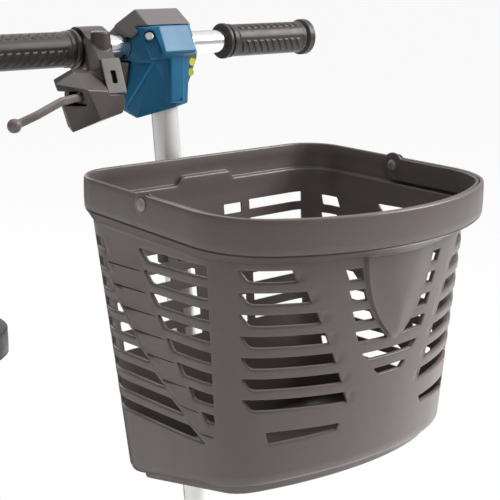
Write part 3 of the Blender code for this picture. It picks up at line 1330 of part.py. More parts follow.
def backrest_frame():
    """two side plates with hinge pins, and two cross tubes"""
    plate = ((-0.012, -0.006), (0.012, -0.006), (0.012, 0.300), (-0.002, 0.300), (-0.012, 0.010))
    plate_x = 0.1385 + 2 * GAP
    parts = []
    for side in (-1, 1):
        parts.append(moved(side_plate(side * plate_x, side * (plate_x + 0.006), plate),
                           BACK_FRAME))
        parts.append(rod_at(BACK_AT, side * 0.1280, side * 0.1440, BACK_PIN_R, 14))
    parts += [moved(rod((-0.142, 0.005, z), (0.142, 0.005, z), 0.0065, 12), BACK_FRAME)
              for z in (0.070, 0.280)]
    piece("backrest_frame", union(*parts), "back_frame_black", "backrest", 30)


def backrest_cushion():
    # (y in the backrest's frame, inset), from the back to the front
    levels = ((-0.0125, 0.008), (-0.0200, 0.0), (-0.0400, 0.0), (-0.0510, 0.006),
              (-0.0550, 0.022))
    rings = [[BACK_FRAME @ Vector((x, y, z + 0.015))
              for x, z in rounded(0.185, 0.0, 0.330, 0.040, 0.075, 5, inset)]
             for y, inset in levels]
    piece("backrest_cushion", loft(rings), "back_fabric", "backrest", 60)


def armrests():
    # (y, z) from the hinge
    arm_outline = ((0.012, -0.008), (0.012, 0.010), (-0.012, -0.012), (-0.185, 0.004),
                   (-0.185, 0.0165), (0, 0.0165))
    for side, side_name in SIDES:
        where = "armrest_" + side_name
        x = side * (ARM_X + 0.0115)
        arm = side_plate(x, x + side * 0.006, [(ARM_Y + y, ARM_Z + z) for y, z in arm_outline])
        pin = rod_at((0, ARM_Y, ARM_Z), side * (ARM_X - 0.0130), x + side * 0.003, 0.0045, 12)
        x_low, x_high = sorted((x + side * 0.005, x - side * 0.030))
        flange = block((x_low, ARM_Y - 0.180, ARM_Z + 0.0148), (x_high, ARM_Y, ARM_Z + 0.0185))
        piece("armrest_arm_" + side_name, union(arm, pin, flange), "arm_black_" + side_name,
              where, 30)

        def pad_plan(inset):
            return rounded(0.024, ARM_Y - 0.190, ARM_Y + 0.040, 0.022, 0.018, 4, inset,
                           x_mid=side * ARM_X)
        mesh = slab(pad_plan, [(ARM_Z + 0.0188, 0.003), (ARM_Z + 0.0220, 0.0),
                               (ARM_Z + 0.0380, 0.0), (ARM_Z + 0.0430, 0.005)])
        piece("armrest_pad_" + side_name, mesh, "pad_black_" + side_name, where, 50)


for build in (
        handlebar_tube, grips, head_housing, head_cover, head_screw, battery_gauge, speed_dial,
        key, horn_button, throttle_lever, lever_housing, lever_cap, brake_lever_pin, brake_lever,
        tiller_upper_tube, tiller_lower_tube, height_clamp, height_clamp_lever, basket_bracket,
        basket_latch, basket_body, basket_bail, bail_pins, front_fork, steering_yoke, fold_pin,
        front_wheel, front_axle, front_mudguard, main_frame, anti_tip_wheels, floor_pan,
        floor_mat, rear_cover, rear_reflector, transaxle, rear_axle, freewheel_lever,
        rear_wheels, battery_box, battery_handle, seat_post, seat_frame, seat_lock_lever,
        seat_cushion, backrest_frame, backrest_cushion, armrests):
    build()

# ------------------------------------------------------------ body tree
# body: (parent, joint position); an empty stands on each joint and every
# piece hangs on its body's empty
BODIES = {
    "chassis": (None, (0, 0, 0)),
    "steering": ("chassis", FOLD),
    "front_wheel": ("steering", FRONT_AXLE),
    "tiller": ("steering", FOLD),
    "clamp_lever": ("tiller", CLAMP_PIN_AT),
    "handlebar": ("tiller", (0, tiller_y(0.75), 0.75)),
    "brake": ("handlebar", BRAKE_AT),
    "throttle": ("handlebar", THROTTLE_AT),
    "dial": ("handlebar", DIAL_AT),
    "key_switch": ("handlebar", KEY_AT),
    "horn": ("handlebar", HORN_AT),
    "latch": ("handlebar", bar_point(0, -0.060, -0.120)),
    "basket": ("handlebar", bar_point(0, -0.09, -0.12)),
    "bail": ("basket", BAIL_AT),
    "rear_wheel_left": ("chassis", REAR_AXLE + X_AXIS * REAR_X),
    "rear_wheel_right": ("chassis", REAR_AXLE - X_AXIS * REAR_X),
    "freewheel": ("chassis", FREEWHEEL_AT),
    "battery": ("chassis", (0, BATTERY_MID_Y, BATTERY_Z[0])),
    "battery_handle": ("battery", BATTERY_HINGE),
    "seat": ("chassis", (0, SEAT_Y, 0.39)),
    "seat_lock": ("seat", LOCK_AT),
    "backrest": ("seat", BACK_AT),
    "armrest_left": ("seat", (ARM_X, ARM_Y, ARM_Z)),
    "armrest_right": ("seat", (-ARM_X, ARM_Y, ARM_Z)),
    "anti_tip_left": ("chassis", TIP_AT),
    "anti_tip_right": ("chassis", (-TIP_AT.x, TIP_AT.y, TIP_AT.z)),
}
JOINTS = {}
for name, (parent, pivot) in BODIES.items():
    joint = bpy.data.objects.new("joint_" + name, None)
    joint.empty_display_size = 0.02
    SCENE.objects.link(joint)
    JOINTS[name] = joint
    if parent:
        joint.parent = JOINTS[parent]
        joint.location = Vector(pivot) - Vector(BODIES[parent][1])
    else:
        joint.location = (0, Y_SHIFT, 0)
for ob, where in PIECES:
    ob.data.transform(Matrix.Translation(-Vector(BODIES[where][1])))
    ob.parent = JOINTS[where]
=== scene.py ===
"""Three-wheeled mobility scooter: fine surfaces, materials, light and camera round its CAD frame.

Metres, +Z up, the floor at z = 0. The scooter faces -Y, and +X is its left side. The handlebar
lies along X; the sizes of bar, head and basket are measured from its centre.
"""
import bpy
import bmesh
import json
import math
import numpy as np
from mathutils.bvhtree import BVHTree
from mathutils import Vector, Matrix
from mathutils.geometry import delaunay_2d_cdt


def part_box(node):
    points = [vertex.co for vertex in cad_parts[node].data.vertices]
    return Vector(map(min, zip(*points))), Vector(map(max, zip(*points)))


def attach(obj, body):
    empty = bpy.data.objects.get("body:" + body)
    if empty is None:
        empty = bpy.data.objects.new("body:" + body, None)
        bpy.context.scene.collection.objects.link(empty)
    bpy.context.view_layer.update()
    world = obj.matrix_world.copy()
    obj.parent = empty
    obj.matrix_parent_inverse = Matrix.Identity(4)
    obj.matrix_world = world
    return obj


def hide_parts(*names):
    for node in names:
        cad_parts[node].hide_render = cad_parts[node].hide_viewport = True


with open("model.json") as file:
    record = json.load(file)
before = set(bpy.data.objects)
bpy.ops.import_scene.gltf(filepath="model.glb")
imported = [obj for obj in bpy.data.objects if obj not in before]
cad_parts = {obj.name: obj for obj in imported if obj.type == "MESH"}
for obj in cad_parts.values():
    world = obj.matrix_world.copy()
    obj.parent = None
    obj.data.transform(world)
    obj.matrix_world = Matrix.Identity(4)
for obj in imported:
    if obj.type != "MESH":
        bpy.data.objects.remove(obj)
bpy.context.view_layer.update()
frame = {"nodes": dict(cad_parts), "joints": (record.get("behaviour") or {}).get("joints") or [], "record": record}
COLLECTION = bpy.context.scene.collection
NODES = frame["nodes"]
JOINTS = {joint["name"]: joint for joint in frame["joints"]}
BODY_OF = {node: body for body, nodes in frame["record"]["behaviour"]["bodies"].items()
           for node in nodes}


def box_centre(node):
    low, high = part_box(node)
    return (low + high) / 2


BAR = box_centre("handlebar_tube")
BAR_Y, BAR_Z = BAR.y, BAR.z


def from_bar(x, y, z):
    """point given from the handlebar's centre"""
    return Vector((x, y + BAR_Y, z + BAR_Z))


# ============================================================ mesh helpers
def frame_of(origin, direction):
    """local frame at origin with +Z along direction, its X as near world X as it can be"""
    z = Vector(direction).normalized()
    x = Vector((0, 1, 0)) if abs(z.x) > 0.9 else Vector((1, 0, 0))
    y = z.cross(x).normalized()
    x = y.cross(z).normalized()
    matrix = Matrix((x, y, z)).transposed().to_4x4()
    matrix.translation = Vector(origin)
    return matrix


def solid(verts, faces, merge=1e-6):
    """closed mesh with doubles merged and its faces turned outwards"""
    mesh = bpy.data.meshes.new("m")
    mesh.from_pydata([tuple(v) for v in verts], [], faces)
    bm = bmesh.new()
    bm.from_mesh(mesh)
    bmesh.ops.remove_doubles(bm, verts=bm.verts, dist=merge)
    bmesh.ops.recalc_face_normals(bm, faces=bm.faces)
    if bm.calc_volume(signed=True) < 0:
        bmesh.ops.reverse_faces(bm, faces=bm.faces)
    bm.to_mesh(mesh)
    bm.free()
    return mesh


def revolve(profile, count, origin, axis, closed=False):
    """turn a profile of (radius, height) about an axis; a point on the axis
    becomes a pole, a closed profile makes a ring"""
    matrix = frame_of(origin, axis)
    verts, faces, rows = [], [], []
    for radius, height in profile:
        if radius < 1e-9:
            rows.append([len(verts)] * count)
            verts.append(matrix @ Vector((0, 0, height)))
            continue
        rows.append([len(verts) + k for k in range(count)])
        for k in range(count):
            angle = 2 * math.pi * (k + 0.5) / count
            point = Vector((radius * math.cos(angle), radius * math.sin(angle), height))
            verts.append(matrix @ point)
    for i in range(len(rows) if closed else len(rows) - 1):
        low, high = rows[i], rows[(i + 1) % len(rows)]
        for k in range(count):
            j = (k + 1) % count
            corners = list(dict.fromkeys([low[k], low[j], high[j], high[k]]))
            if len(corners) >= 3:
                faces.append(corners)
    if not closed:
        if profile[0][0] > 1e-9:
            faces.append(rows[0][::-1])
        if profile[-1][0] > 1e-9:
            faces.append(rows[-1])
    return solid(verts, faces)


def rod(start, end, radius, count):
    start, end = Vector(start), Vector(end)
    axis = end - start
    return revolve([(radius, 0), (radius, axis.length)], count, start, axis)


def pipe(start, end, radius, wall, chamfer, count=96):
    """tube with its outer edges chamfered"""
    start, end = Vector(start), Vector(end)
    axis = end - start
    length, bore = axis.length, radius - wall
    profile = [(bore, 0), (radius - chamfer, 0), (radius, chamfer), (radius, length - chamfer),
               (radius - chamfer, length), (bore, length)]
    return revolve(profile, count, start, axis, closed=True)


def block(centre, size):
    bm = bmesh.new()
    bmesh.ops.create_cube(bm, size=1.0)
    for vert in bm.verts:
        vert.co = Vector(c + unit * s for c, unit, s in zip(centre, vert.co, size))
    bmesh.ops.recalc_face_normals(bm, faces=bm.faces)
    mesh = bpy.data.meshes.new("m")
    bm.to_mesh(mesh)
    bm.free()
    return mesh


def loft(rings, caps=True):
    """join rings of equal count, each a closed loop of points"""
    count = len(rings[0])
    verts = [Vector(point) for ring in rings for point in ring]
    faces = []
    for i in range(len(rings) - 1):
        for k in range(count):
            first, second = i * count + k, i * count + (k + 1) % count
            faces.append([first, second, second + count, first + count])
    if caps:
        faces.append(list(range(count))[::-1])
        faces.append([(len(rings) - 1) * count + k for k in range(count)])
    return solid(verts, faces)


def sweep(path, section, closed=False):
    """carry a flat section of (side, up) pairs along a path"""
    points = [Vector(point) for point in path]
    count = len(points)
    rings = []
    for i, point in enumerate(points):
        bend, stretch = Vector(), 1.0
        if closed:
            tangent = (points[(i + 1) % count] - points[i - 1]).normalized()
        elif i in (0, count - 1):
            first = min(i, count - 2)
            tangent = (points[first + 1] - points[first]).normalized()
        else:
            # widen the section at a bend so that its faces stay parallel
            arrive = (point - points[i - 1]).normalized()
            leave = (points[i + 1] - point).normalized()
            tangent = (leave + arrive).normalized()
            bend = (leave - arrive).normalized()
            stretch = 1.0 / max(arrive.dot(tangent), 0.5)
        side = tangent.cross(Vector((0, 0, 1))).normalized()
        over = side.cross(tangent).normalized()
        ring = []
        for across, up in section:
            offset = side * across + over * up
            ring.append(point + offset + bend * offset.dot(bend) * (stretch - 1.0))
        rings.append(ring)
    if closed:
        rings.append(rings[0])
    return loft(rings, caps=not closed)


def chamfered_rect(width, height, chamfer):
    x, y = width / 2, height / 2
    return [(-x + chamfer, -y), (x - chamfer, -y), (x, -y + chamfer), (x, y - chamfer),
            (x - chamfer, y), (-x + chamfer, y), (-x, y - chamfer), (-x, -y + chamfer)]


def temp_object(mesh, name="tmp"):
    ob = bpy.data.objects.new(name, mesh)
    COLLECTION.objects.link(ob)
    return ob


def bake(ob, *helpers):
    """mesh of an object with its modifiers applied; it and its helpers are removed"""
    depsgraph = bpy.context.evaluated_depsgraph_get()
    depsgraph.update()
    mesh = bpy.data.meshes.new_from_object(ob.evaluated_get(depsgraph))
    for used in (ob, *helpers):
        bpy.data.objects.remove(used, do_unlink=True)
    return mesh


def boolean(mesh, others, operation):
    """combine meshes with the exact solver and clean the result"""
    ob = temp_object(mesh, "tmp_a")
    helpers = [temp_object(other, "tmp_c") for other in others]
    for helper in helpers:
        modifier = ob.modifiers.new("boolean", 'BOOLEAN')
        modifier.operation = operation
        modifier.solver = 'EXACT'
        modifier.object = helper
    result = bake(ob, *helpers)
    bm = bmesh.new()
    bm.from_mesh(result)
    bmesh.ops.remove_doubles(bm, verts=bm.verts, dist=2e-6)
    bmesh.ops.dissolve_degenerate(bm, edges=bm.edges, dist=1e-6)
    bm.to_mesh(result)
    bm.free()
    return result


def union(first, *others):
    return boolean(first, others, 'UNION')


def cut(first, *others):
    return boolean(first, others, 'DIFFERENCE')


def joined(meshes):
    """several separate closed shapes in one mesh, used as one cutter"""
    bm = bmesh.new()
    for mesh in meshes:
        bm.from_mesh(mesh)
    result = bpy.data.meshes.new("m")
    bm.to_mesh(result)
    bm.free()
    return result


def softened(mesh, voxel, passes):
    """one skin over the shape, its edges and inner corners slightly rounded"""
    ob = temp_object(mesh)
    remesh = ob.modifiers.new("remesh", 'REMESH')
    remesh.mode = 'VOXEL'
    remesh.voxel_size = voxel
    remesh.adaptivity = 0.0
    smooth = ob.modifiers.new("smooth", 'SMOOTH')
    smooth.factor = 0.5
    smooth.iterations = passes
    return bake(ob)


def cad_mesh(node):
    mesh = NODES[node].data.copy()
    bm = bmesh.new()
    bm.from_mesh(mesh)
    bmesh.ops.remove_doubles(bm, verts=bm.verts, dist=1e-6)
    bm.to_mesh(mesh)
    bm.free()
    return mesh


# ============================================================ placing pieces
def dress(mesh, material, sharp):
    """one material, smooth shading with edges above `sharp` degrees left sharp"""
    mesh.materials.clear()
    mesh.materials.append(material)
    mesh.shade_smooth()
    mesh.set_sharp_from_angle(angle=math.radians(sharp))


def add_object(name, mesh, material, sharp):
    ob = bpy.data.objects.new(name, mesh)
    mesh.name = name
    COLLECTION.objects.link(ob)
    dress(mesh, material, sharp)
    return ob


def place(name, mesh, material, node, sharp=30):
    """fine piece that stands in for a CAD piece"""
    ob = add_object(name, mesh, material, sharp)
    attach(ob, BODY_OF[node])
    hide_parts(node)


def extra(name, mesh, material, body, sharp=40):
    """added piece that rides on a body"""
    ob = add_object(name, mesh, material, sharp)
    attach(ob, body)


def soften_nodes(table):
    """table of CAD piece, material, voxel size, smoothing passes"""
    for node, material, voxel, passes in table:
        mesh = softened(cad_mesh(node), voxel, passes)
        place(node + "_fine", mesh, material, node, sharp=60)


def keep_nodes(table):
    """table of CAD piece kept as it is, material, bevel width"""
    for node, material, width in table:
        ob = NODES[node]
        dress(ob.data, material, sharp=35)
        if width:
            bevel = ob.modifiers.new("edge", 'BEVEL')
            bevel.width = width
            bevel.segments = 2
            bevel.limit_method = 'ANGLE'
            bevel.angle_limit = math.radians(40)


# ============================================================ shader helpers
def srgb(*channels):
    """linear colour from 0-255 sRGB channels"""
    def linear(value):
        value /= 255.0
        return value / 12.92 if value <= 0.04045 else ((value + 0.055) / 1.055) ** 2.4
    return tuple(linear(value) for value in channels)


def tint(rgb, factor, lift=0.0):
    return tuple(min(1, channel * factor + lift) for channel in rgb)


class Nodes:
    """short calls for building a node tree"""
    def __init__(self, tree):
        self.tree = tree

    def feed(self, node, inputs):
        """give each named socket a value, or link an output to it"""
        for key, value in inputs.items():
            if isinstance(value, bpy.types.NodeSocket):
                self.tree.links.new(value, node.inputs[key])
            else:
                node.inputs[key].default_value = value

    def add(self, kind, inputs=None, **settings):
        node = self.tree.nodes.new(kind)
        for key, value in settings.items():
            setattr(node, key, value)
        self.feed(node, inputs or {})
        return node

    def coords(self, scale=(1, 1, 1)):
        source = self.add("ShaderNodeTexCoord").outputs["Object"]
        mapping = self.add("ShaderNodeMapping", {"Scale": scale, "Vector": source})
        return mapping.outputs["Vector"]

    def noise(self, vector, scale, detail=4.0, rough=0.55):
        return self.add("ShaderNodeTexNoise", {
            "Scale": scale, "Detail": detail, "Roughness": rough, "Vector": vector}).outputs["Fac"]

    def voronoi(self, vector, scale, feature="F1", randomness=1.0):
        return self.add("ShaderNodeTexVoronoi", {
            "Scale": scale, "Randomness": randomness, "Vector": vector},
            feature=feature).outputs["Distance"]

    def ramp(self, value, span=(0.3, 0.7), to=(0.0, 1.0)):
        """map a span of values to another"""
        return self.add("ShaderNodeMapRange", {
            "From Min": span[0], "From Max": span[1], "To Min": to[0], "To Max": to[1],
            "Value": value}).outputs["Result"]

    def math(self, operation, first, second):
        node = self.add("ShaderNodeMath", {0: first, 1: second}, operation=operation)
        return node.outputs[0]

    def mix(self, factor, first, second):
        """blend of two colours; sockets 6 and 7 and output 2 are the colour ones"""
        first, second = ((*colour, 1.0) if isinstance(colour, tuple) else colour
                         for colour in (first, second))
        node = self.add("ShaderNodeMix", {}, data_type="RGBA", blend_type="MIX")
        self.feed(node, {"Factor": factor, 6: first, 7: second})
        return node.outputs[2]

    def bump(self, height, strength, distance, normal=None):
        inputs = {"Strength": strength, "Distance": distance, "Height": height}
        if normal is not None:
            inputs["Normal"] = normal
        return self.add("ShaderNodeBump", inputs).outputs["Normal"]

    def worn_and_highlit_edges(self, vector, edge_span, scale, cover_span, cover_to, detail=4.0):
        """mask of the convex edges, broken up by noise"""
        pointiness = self.add("ShaderNodeNewGeometry").outputs["Pointiness"]
        edges = self.ramp(pointiness, span=edge_span)
        patches = self.noise(vector, scale=scale, detail=detail)
        return self.math("MULTIPLY", edges, self.ramp(patches, span=cover_span, to=cover_to))


def new_material(name):
    """material, its node helper and its Principled node"""
    material = bpy.data.materials.new(name)
    material.use_nodes = True
    tree = material.node_tree
    return material, Nodes(tree), tree.nodes["Principled BSDF"]


# ============================================================ kinds of material
def plastic(name, rgb, rough, grain=1.0, grain_scale=1300, var=0.10, wear_and_highlight=0.25, coat=0.0,
            spec=0.5, edge=1.35, recess_shade_reach=0.0):
    """moulded plastic: spark-eroded grain, faint flow marks, edges lightened by wear and a painted highlight
    (edge: how much lighter they are); the last argument: reach of the painted shade in recesses"""
    material, n, surface = new_material(name)
    vector = n.coords()
    patches = n.noise(vector, scale=9.0, detail=3.0)
    specks = n.noise(vector, scale=260.0, detail=5.0)
    flow = n.noise(n.coords((1, 1, 0.18)), scale=42.0, detail=3.0)
    colour = n.mix(n.ramp(patches, span=(0.35, 0.65)), tint(rgb, 1 - var), tint(rgb, 1 + var))
    colour = n.mix(n.ramp(specks, span=(0.45, 0.75), to=(0.0, 0.30)), colour, tint(rgb, 0.82))
    # painted highlight, partly wear: convex edges are lightened by the edge factor
    worn_and_highlit_edges = n.worn_and_highlit_edges(vector, edge_span=(0.52, 0.62), scale=55.0,
                      cover_span=(0.35, 0.65), cover_to=(0.35, 1.0))
    colour = n.mix(n.math("MULTIPLY", worn_and_highlit_edges, wear_and_highlight), colour, tint(rgb, edge, lift=0.012))
    # painted shade: ambient occlusion darkens recesses and the hidden inside towards near black
    if recess_shade_reach:
        occlusion = n.add("ShaderNodeAmbientOcclusion", {"Distance": recess_shade_reach}, samples=6)
        openness = n.ramp(occlusion.outputs["AO"], span=(0.30, 0.90))
        colour = n.mix(openness, tint(rgb, 0.06), colour)
    roughness = n.math("ADD", n.ramp(flow, to=(rough - 0.05, rough + 0.06)),
                       n.math("MULTIPLY", worn_and_highlit_edges, -0.06))
    grains = n.math("ADD", n.voronoi(vector, scale=grain_scale),
                    n.noise(vector, scale=grain_scale * 0.6, detail=2.0))
    normal = n.bump(grains, strength=0.22 * grain, distance=0.00025)
    normal = n.bump(flow, strength=0.05, distance=0.0006, normal=normal)
    n.feed(surface, {"Base Color": colour, "Roughness": roughness, "Normal": normal,
                     "Specular IOR Level": spec, "Coat Weight": coat, "Coat Roughness": 0.12})
    return material


def metal(name, rgb, rough, scale, bump, brush=(1, 1, 1), wear_and_highlight=0.3, metallic=1.0):
    """turned, drawn or cast metal: fine lines along one axis, smudges, small scratches"""
    material, n, surface = new_material(name)
    vector = n.coords()
    lines = n.noise(n.coords(brush), scale=scale, detail=6.0, rough=0.7)
    smudge = n.noise(vector, scale=14.0)
    colour = n.mix(n.ramp(smudge, span=(0.35, 0.7), to=(0.0, 0.5)), rgb, tint(rgb, 0.86))
    cells = n.voronoi(n.coords((1, 1, 0.25)), scale=190.0, feature="DISTANCE_TO_EDGE")
    scratch = n.ramp(cells, span=(0.0, 0.02), to=(1.0, 0.0))
    colour = n.mix(n.math("MULTIPLY", scratch, wear_and_highlight / 3), colour, tint(rgb, 0.6))
    roughness = n.math("ADD", n.ramp(smudge, to=(rough * 0.8, rough * 1.35)),
                       n.ramp(lines, to=(-0.02, 0.05)))
    n.feed(surface, {"Base Color": colour, "Metallic": metallic, "Roughness": roughness,
                     "Normal": n.bump(lines, strength=bump, distance=0.0003)})
    return material


def rubber(name, rgb, rough, grain, scale):
    """grained rubber with a pale bloom, and edges lightened by wear and a painted highlight"""
    material, n, surface = new_material(name)
    vector = n.coords()
    patches = n.ramp(n.noise(vector, scale=16.0, detail=5.0), span=(0.35, 0.7))
    colour = n.mix(patches, tint(rgb, 0.86), tint(rgb, 1.12))
    bloom = n.noise(vector, scale=70.0, detail=6.0, rough=0.7)
    colour = n.mix(n.ramp(bloom, span=(0.5, 0.8), to=(0.0, 0.22)), colour,
                   tint(rgb, 1.9, lift=0.02))
    # painted highlight, partly wear: convex edges and rib crests are lightened
    worn_and_highlit_edges = n.worn_and_highlit_edges(vector, edge_span=(0.51, 0.60), scale=60.0,
                      cover_span=(0.35, 0.65), cover_to=(0.3, 1.0))
    colour = n.mix(n.math("MULTIPLY", worn_and_highlit_edges, 0.25), colour, tint(rgb, 1.7, lift=0.01))
    roughness = n.ramp(bloom, to=(rough - 0.06, rough + 0.08))
    grains = n.math("ADD", n.voronoi(vector, scale=scale),
                    n.noise(vector, scale=scale * 1.7, detail=3.0))
    n.feed(surface, {"Base Color": colour, "Roughness": roughness, "Specular IOR Level": 0.4,
                     "Normal": n.bump(grains, strength=0.25 * grain, distance=0.0003)})
    return material


def paint(name, rgb, rough):
    """powder coat: orange peel, dust, chipped edges showing primer"""
    material, n, surface = new_material(name)
    vector = n.coords()
    patches = n.ramp(n.noise(vector, scale=7.0), span=(0.35, 0.65))
    colour = n.mix(patches, tint(rgb, 0.9), tint(rgb, 1.15))
    dust = n.noise(vector, scale=120.0, detail=6.0, rough=0.7)
    colour = n.mix(n.ramp(dust, span=(0.55, 0.85), to=(0.0, 0.18)), colour, (0.32, 0.30, 0.28))
    chips = n.worn_and_highlit_edges(vector, edge_span=(0.53, 0.66), scale=90.0, detail=5.0,
                     cover_span=(0.50, 0.62), cover_to=(0.0, 1.0))
    colour = n.mix(n.math("MULTIPLY", chips, 0.5), colour, (0.34, 0.33, 0.32))
    roughness = n.ramp(dust, to=(rough - 0.05, rough + 0.09))
    peel = n.noise(vector, scale=700.0, detail=3.0)
    n.feed(surface, {"Base Color": colour, "Roughness": roughness, "Coat Weight": 0.25,
                     "Coat Roughness": 0.2,
                     "Normal": n.bump(peel, strength=0.16, distance=0.0004)})
    return material


def vinyl(name, rgb, rough, scale=420.0):
    """leather-grained coated fabric"""
    material, n, surface = new_material(name)
    vector = n.coords()
    cells = n.voronoi(vector, scale=scale, feature="DISTANCE_TO_EDGE", randomness=0.9)
    fine_cells = n.voronoi(vector, scale=scale * 2.3, feature="DISTANCE_TO_EDGE")
    patches = n.ramp(n.noise(vector, scale=10.0))
    colour = n.mix(patches, tint(rgb, 0.8), tint(rgb, 1.2))
    colour = n.mix(n.ramp(cells, span=(0.0, 0.12), to=(0.55, 0.0)), colour, tint(rgb, 0.35))
    worn_and_highlit_edges = n.worn_and_highlit_edges(vector, edge_span=(0.505, 0.56), scale=40.0,
                      cover_span=(0.4, 0.7), cover_to=(0.2, 1.0))
    colour = n.mix(n.math("MULTIPLY", worn_and_highlit_edges, 0.25), colour, tint(rgb, 2.2, lift=0.02))
    roughness = n.ramp(n.noise(vector, scale=30.0, detail=5.0), to=(rough - 0.07, rough + 0.10))
    normal = n.bump(n.ramp(cells, span=(0.0, 0.25)), strength=0.35, distance=0.0006)
    normal = n.bump(fine_cells, strength=0.15, distance=0.0003, normal=normal)
    waves = n.noise(vector, scale=24.0, detail=3.0)
    normal = n.bump(waves, strength=0.12, distance=0.002, normal=normal)
    n.feed(surface, {"Base Color": colour, "Roughness": roughness, "Sheen Weight": 0.08,
                     "Normal": normal})
    return material


def lens(name, rgb, cell, rough, transmission):
    """coated clear plastic with a regular cell pattern"""
    material, n, surface = new_material(name)
    vector = n.coords()
    cells = n.voronoi(vector, scale=cell, randomness=0.0)
    colour = n.mix(n.ramp(cells, span=(0.0, 0.6), to=(0.0, 0.5)), rgb,
                   tint(rgb, 1.6, lift=0.03))
    roughness = n.ramp(n.noise(vector, scale=60.0), to=(rough, rough + 0.08))
    n.feed(surface, {"Base Color": colour, "Roughness": roughness,
                     "Transmission Weight": transmission, "Coat Weight": 0.6,
                     "Normal": n.bump(cells, strength=0.3, distance=0.0008)})
    return material


# ============================================================ materials
BLUE = srgb(30, 104, 142)

# painted shade darkens the inside of the basket, seen through the slots
basket_plastic = plastic("basket_moulding", srgb(96, 86, 83), rough=0.36, grain_scale=1400,
                         var=0.06, wear_and_highlight=0.22, coat=0.08, recess_shade_reach=0.10)
bail_plastic = plastic("bail_moulding", srgb(84, 76, 73), rough=0.40, grain_scale=1400, var=0.07)
# lever housing and cap: edges lightened as a painted highlight, partly wear; painted shade darkens their recesses
# and slot
lever_plastic = plastic("lever_moulding", srgb(74, 66, 64), rough=0.34, grain=1.3,
                        grain_scale=1200, var=0.07, wear_and_highlight=0.45, edge=1.9, recess_shade_reach=0.016)
cap_plastic = plastic("lever_cap_moulding", srgb(66, 59, 57), rough=0.36, grain=1.3,
                      grain_scale=1200, var=0.07, wear_and_highlight=0.55, edge=2.1, recess_shade_reach=0.010)
# the pins' light tone and lightened edges partly stand for their highlights: painted highlight
pin_plastic = plastic("bail_pin_moulding", srgb(138, 129, 126), rough=0.24, grain=0.8,
                      grain_scale=1400, var=0.07, wear_and_highlight=0.5, edge=2.0)
# painted highlight: a lighter copy of the lever plastic stands for the light falling on the blades
blade_lit_copy = plastic("lever_blade_lit_copy", srgb(106, 97, 95), rough=0.33, grain=0.7,
                     grain_scale=1500, var=0.08, wear_and_highlight=0.35)
grip_rubber = rubber("grip_rubber", srgb(58, 52, 49), rough=0.38, grain=0.9, scale=1100)
# edges lightened strongly: painted highlight along the blue moulding's edges, partly wear
head_blue = plastic("head_blue_moulding", BLUE, rough=0.36, grain=0.35, grain_scale=1800,
                    var=0.05, wear_and_highlight=0.6, coat=0.04, spec=0.38, edge=3.0)
head_grey = plastic("head_grey_moulding", srgb(108, 102, 101), rough=0.46, grain=1.6,
                    var=0.05, wear_and_highlight=0.15)
bar_metal = metal("bar_bright_tube", (0.90, 0.90, 0.88), rough=0.14, brush=(60, 1, 1),
                  scale=26.0, bump=0.03, wear_and_highlight=0.2)
tiller_metal = metal("tiller_bright_tube", (0.93, 0.92, 0.90), rough=0.20, brush=(1, 1, 60),
                     scale=26.0, bump=0.03, wear_and_highlight=0.2, metallic=0.50)
screw_zinc = metal("zinc_screws", (0.78, 0.78, 0.76), rough=0.28, scale=300.0, bump=0.05)
steel = metal("turned_steel", (0.72, 0.72, 0.71), rough=0.25, brush=(40, 1, 1),
              scale=60.0, bump=0.05)
rim_alloy = metal("wheel_alloy", (0.62, 0.62, 0.64), rough=0.30, scale=160.0, bump=0.06)
frame_paint = paint("frame_powder_coat", srgb(46, 46, 48), rough=0.36)
fork_paint = paint("fork_powder_coat", srgb(42, 42, 44), rough=0.34)
clamp_alloy = metal("clamp_lever_alloy", (0.55, 0.55, 0.54), rough=0.33, brush=(1, 1, 20),
                    scale=60.0, bump=0.08)
black_plastic = plastic("black_moulding", srgb(36, 35, 35), rough=0.42, grain=1.2,
                        var=0.12, wear_and_highlight=0.45, edge=2.4)
bracket_plastic = plastic("bracket_moulding", srgb(44, 42, 41), rough=0.46, grain=1.2,
                          wear_and_highlight=0.40, edge=2.2)
latch_plastic = plastic("latch_moulding", srgb(150, 148, 146), rough=0.42)
yellow_plastic = plastic("yellow_button", srgb(214, 206, 84), rough=0.30, grain=0.5,
                         grain_scale=1500, var=0.05, wear_and_highlight=0.3, coat=0.3)
yellow_paint = paint("yellow_lever_coat", srgb(206, 170, 40), rough=0.36)
pan_plastic = plastic("floor_pan_moulding", srgb(62, 60, 59), rough=0.5, grain=1.6,
                      grain_scale=900, wear_and_highlight=0.35, edge=1.8)
mat_rubber = rubber("floor_mat_rubber", srgb(44, 44, 45), rough=0.72, grain=1.2, scale=700)
rear_plastic = plastic("rear_cover_moulding", BLUE, rough=0.24, grain=0.35, grain_scale=1800,
                       var=0.05, wear_and_highlight=0.35, coat=0.35, edge=2.0)
red_lens = lens("reflector_lens", srgb(190, 22, 20), cell=260.0, rough=0.08, transmission=0.25)
gauge_lens = lens("gauge_lens", srgb(30, 36, 38), cell=40.0, rough=0.05, transmission=0.15)
tyre_rubber = rubber("tyre_rubber", srgb(74, 74, 76), rough=0.74, grain=1.4, scale=600)
guard_plastic = plastic("mudguard_moulding", srgb(40, 40, 41), rough=0.44, grain=1.4,
                        grain_scale=1100, wear_and_highlight=0.4, edge=2.2)
case_alloy = metal("transaxle_alloy", (0.44, 0.44, 0.45), rough=0.46, scale=120.0, bump=0.16)
battery_plastic = plastic("battery_case_moulding", srgb(42, 42, 43), rough=0.5, grain=1.8,
                          grain_scale=800, wear_and_highlight=0.4, edge=2.2)
seat_vinyl = vinyl("seat_vinyl", srgb(50, 50, 53), rough=0.44)
back_vinyl = vinyl("backrest_vinyl", srgb(50, 50, 53), rough=0.44)
pad_rubber = rubber("armrest_skin", srgb(44, 44, 45), rough=0.58, grain=1.3, scale=500)
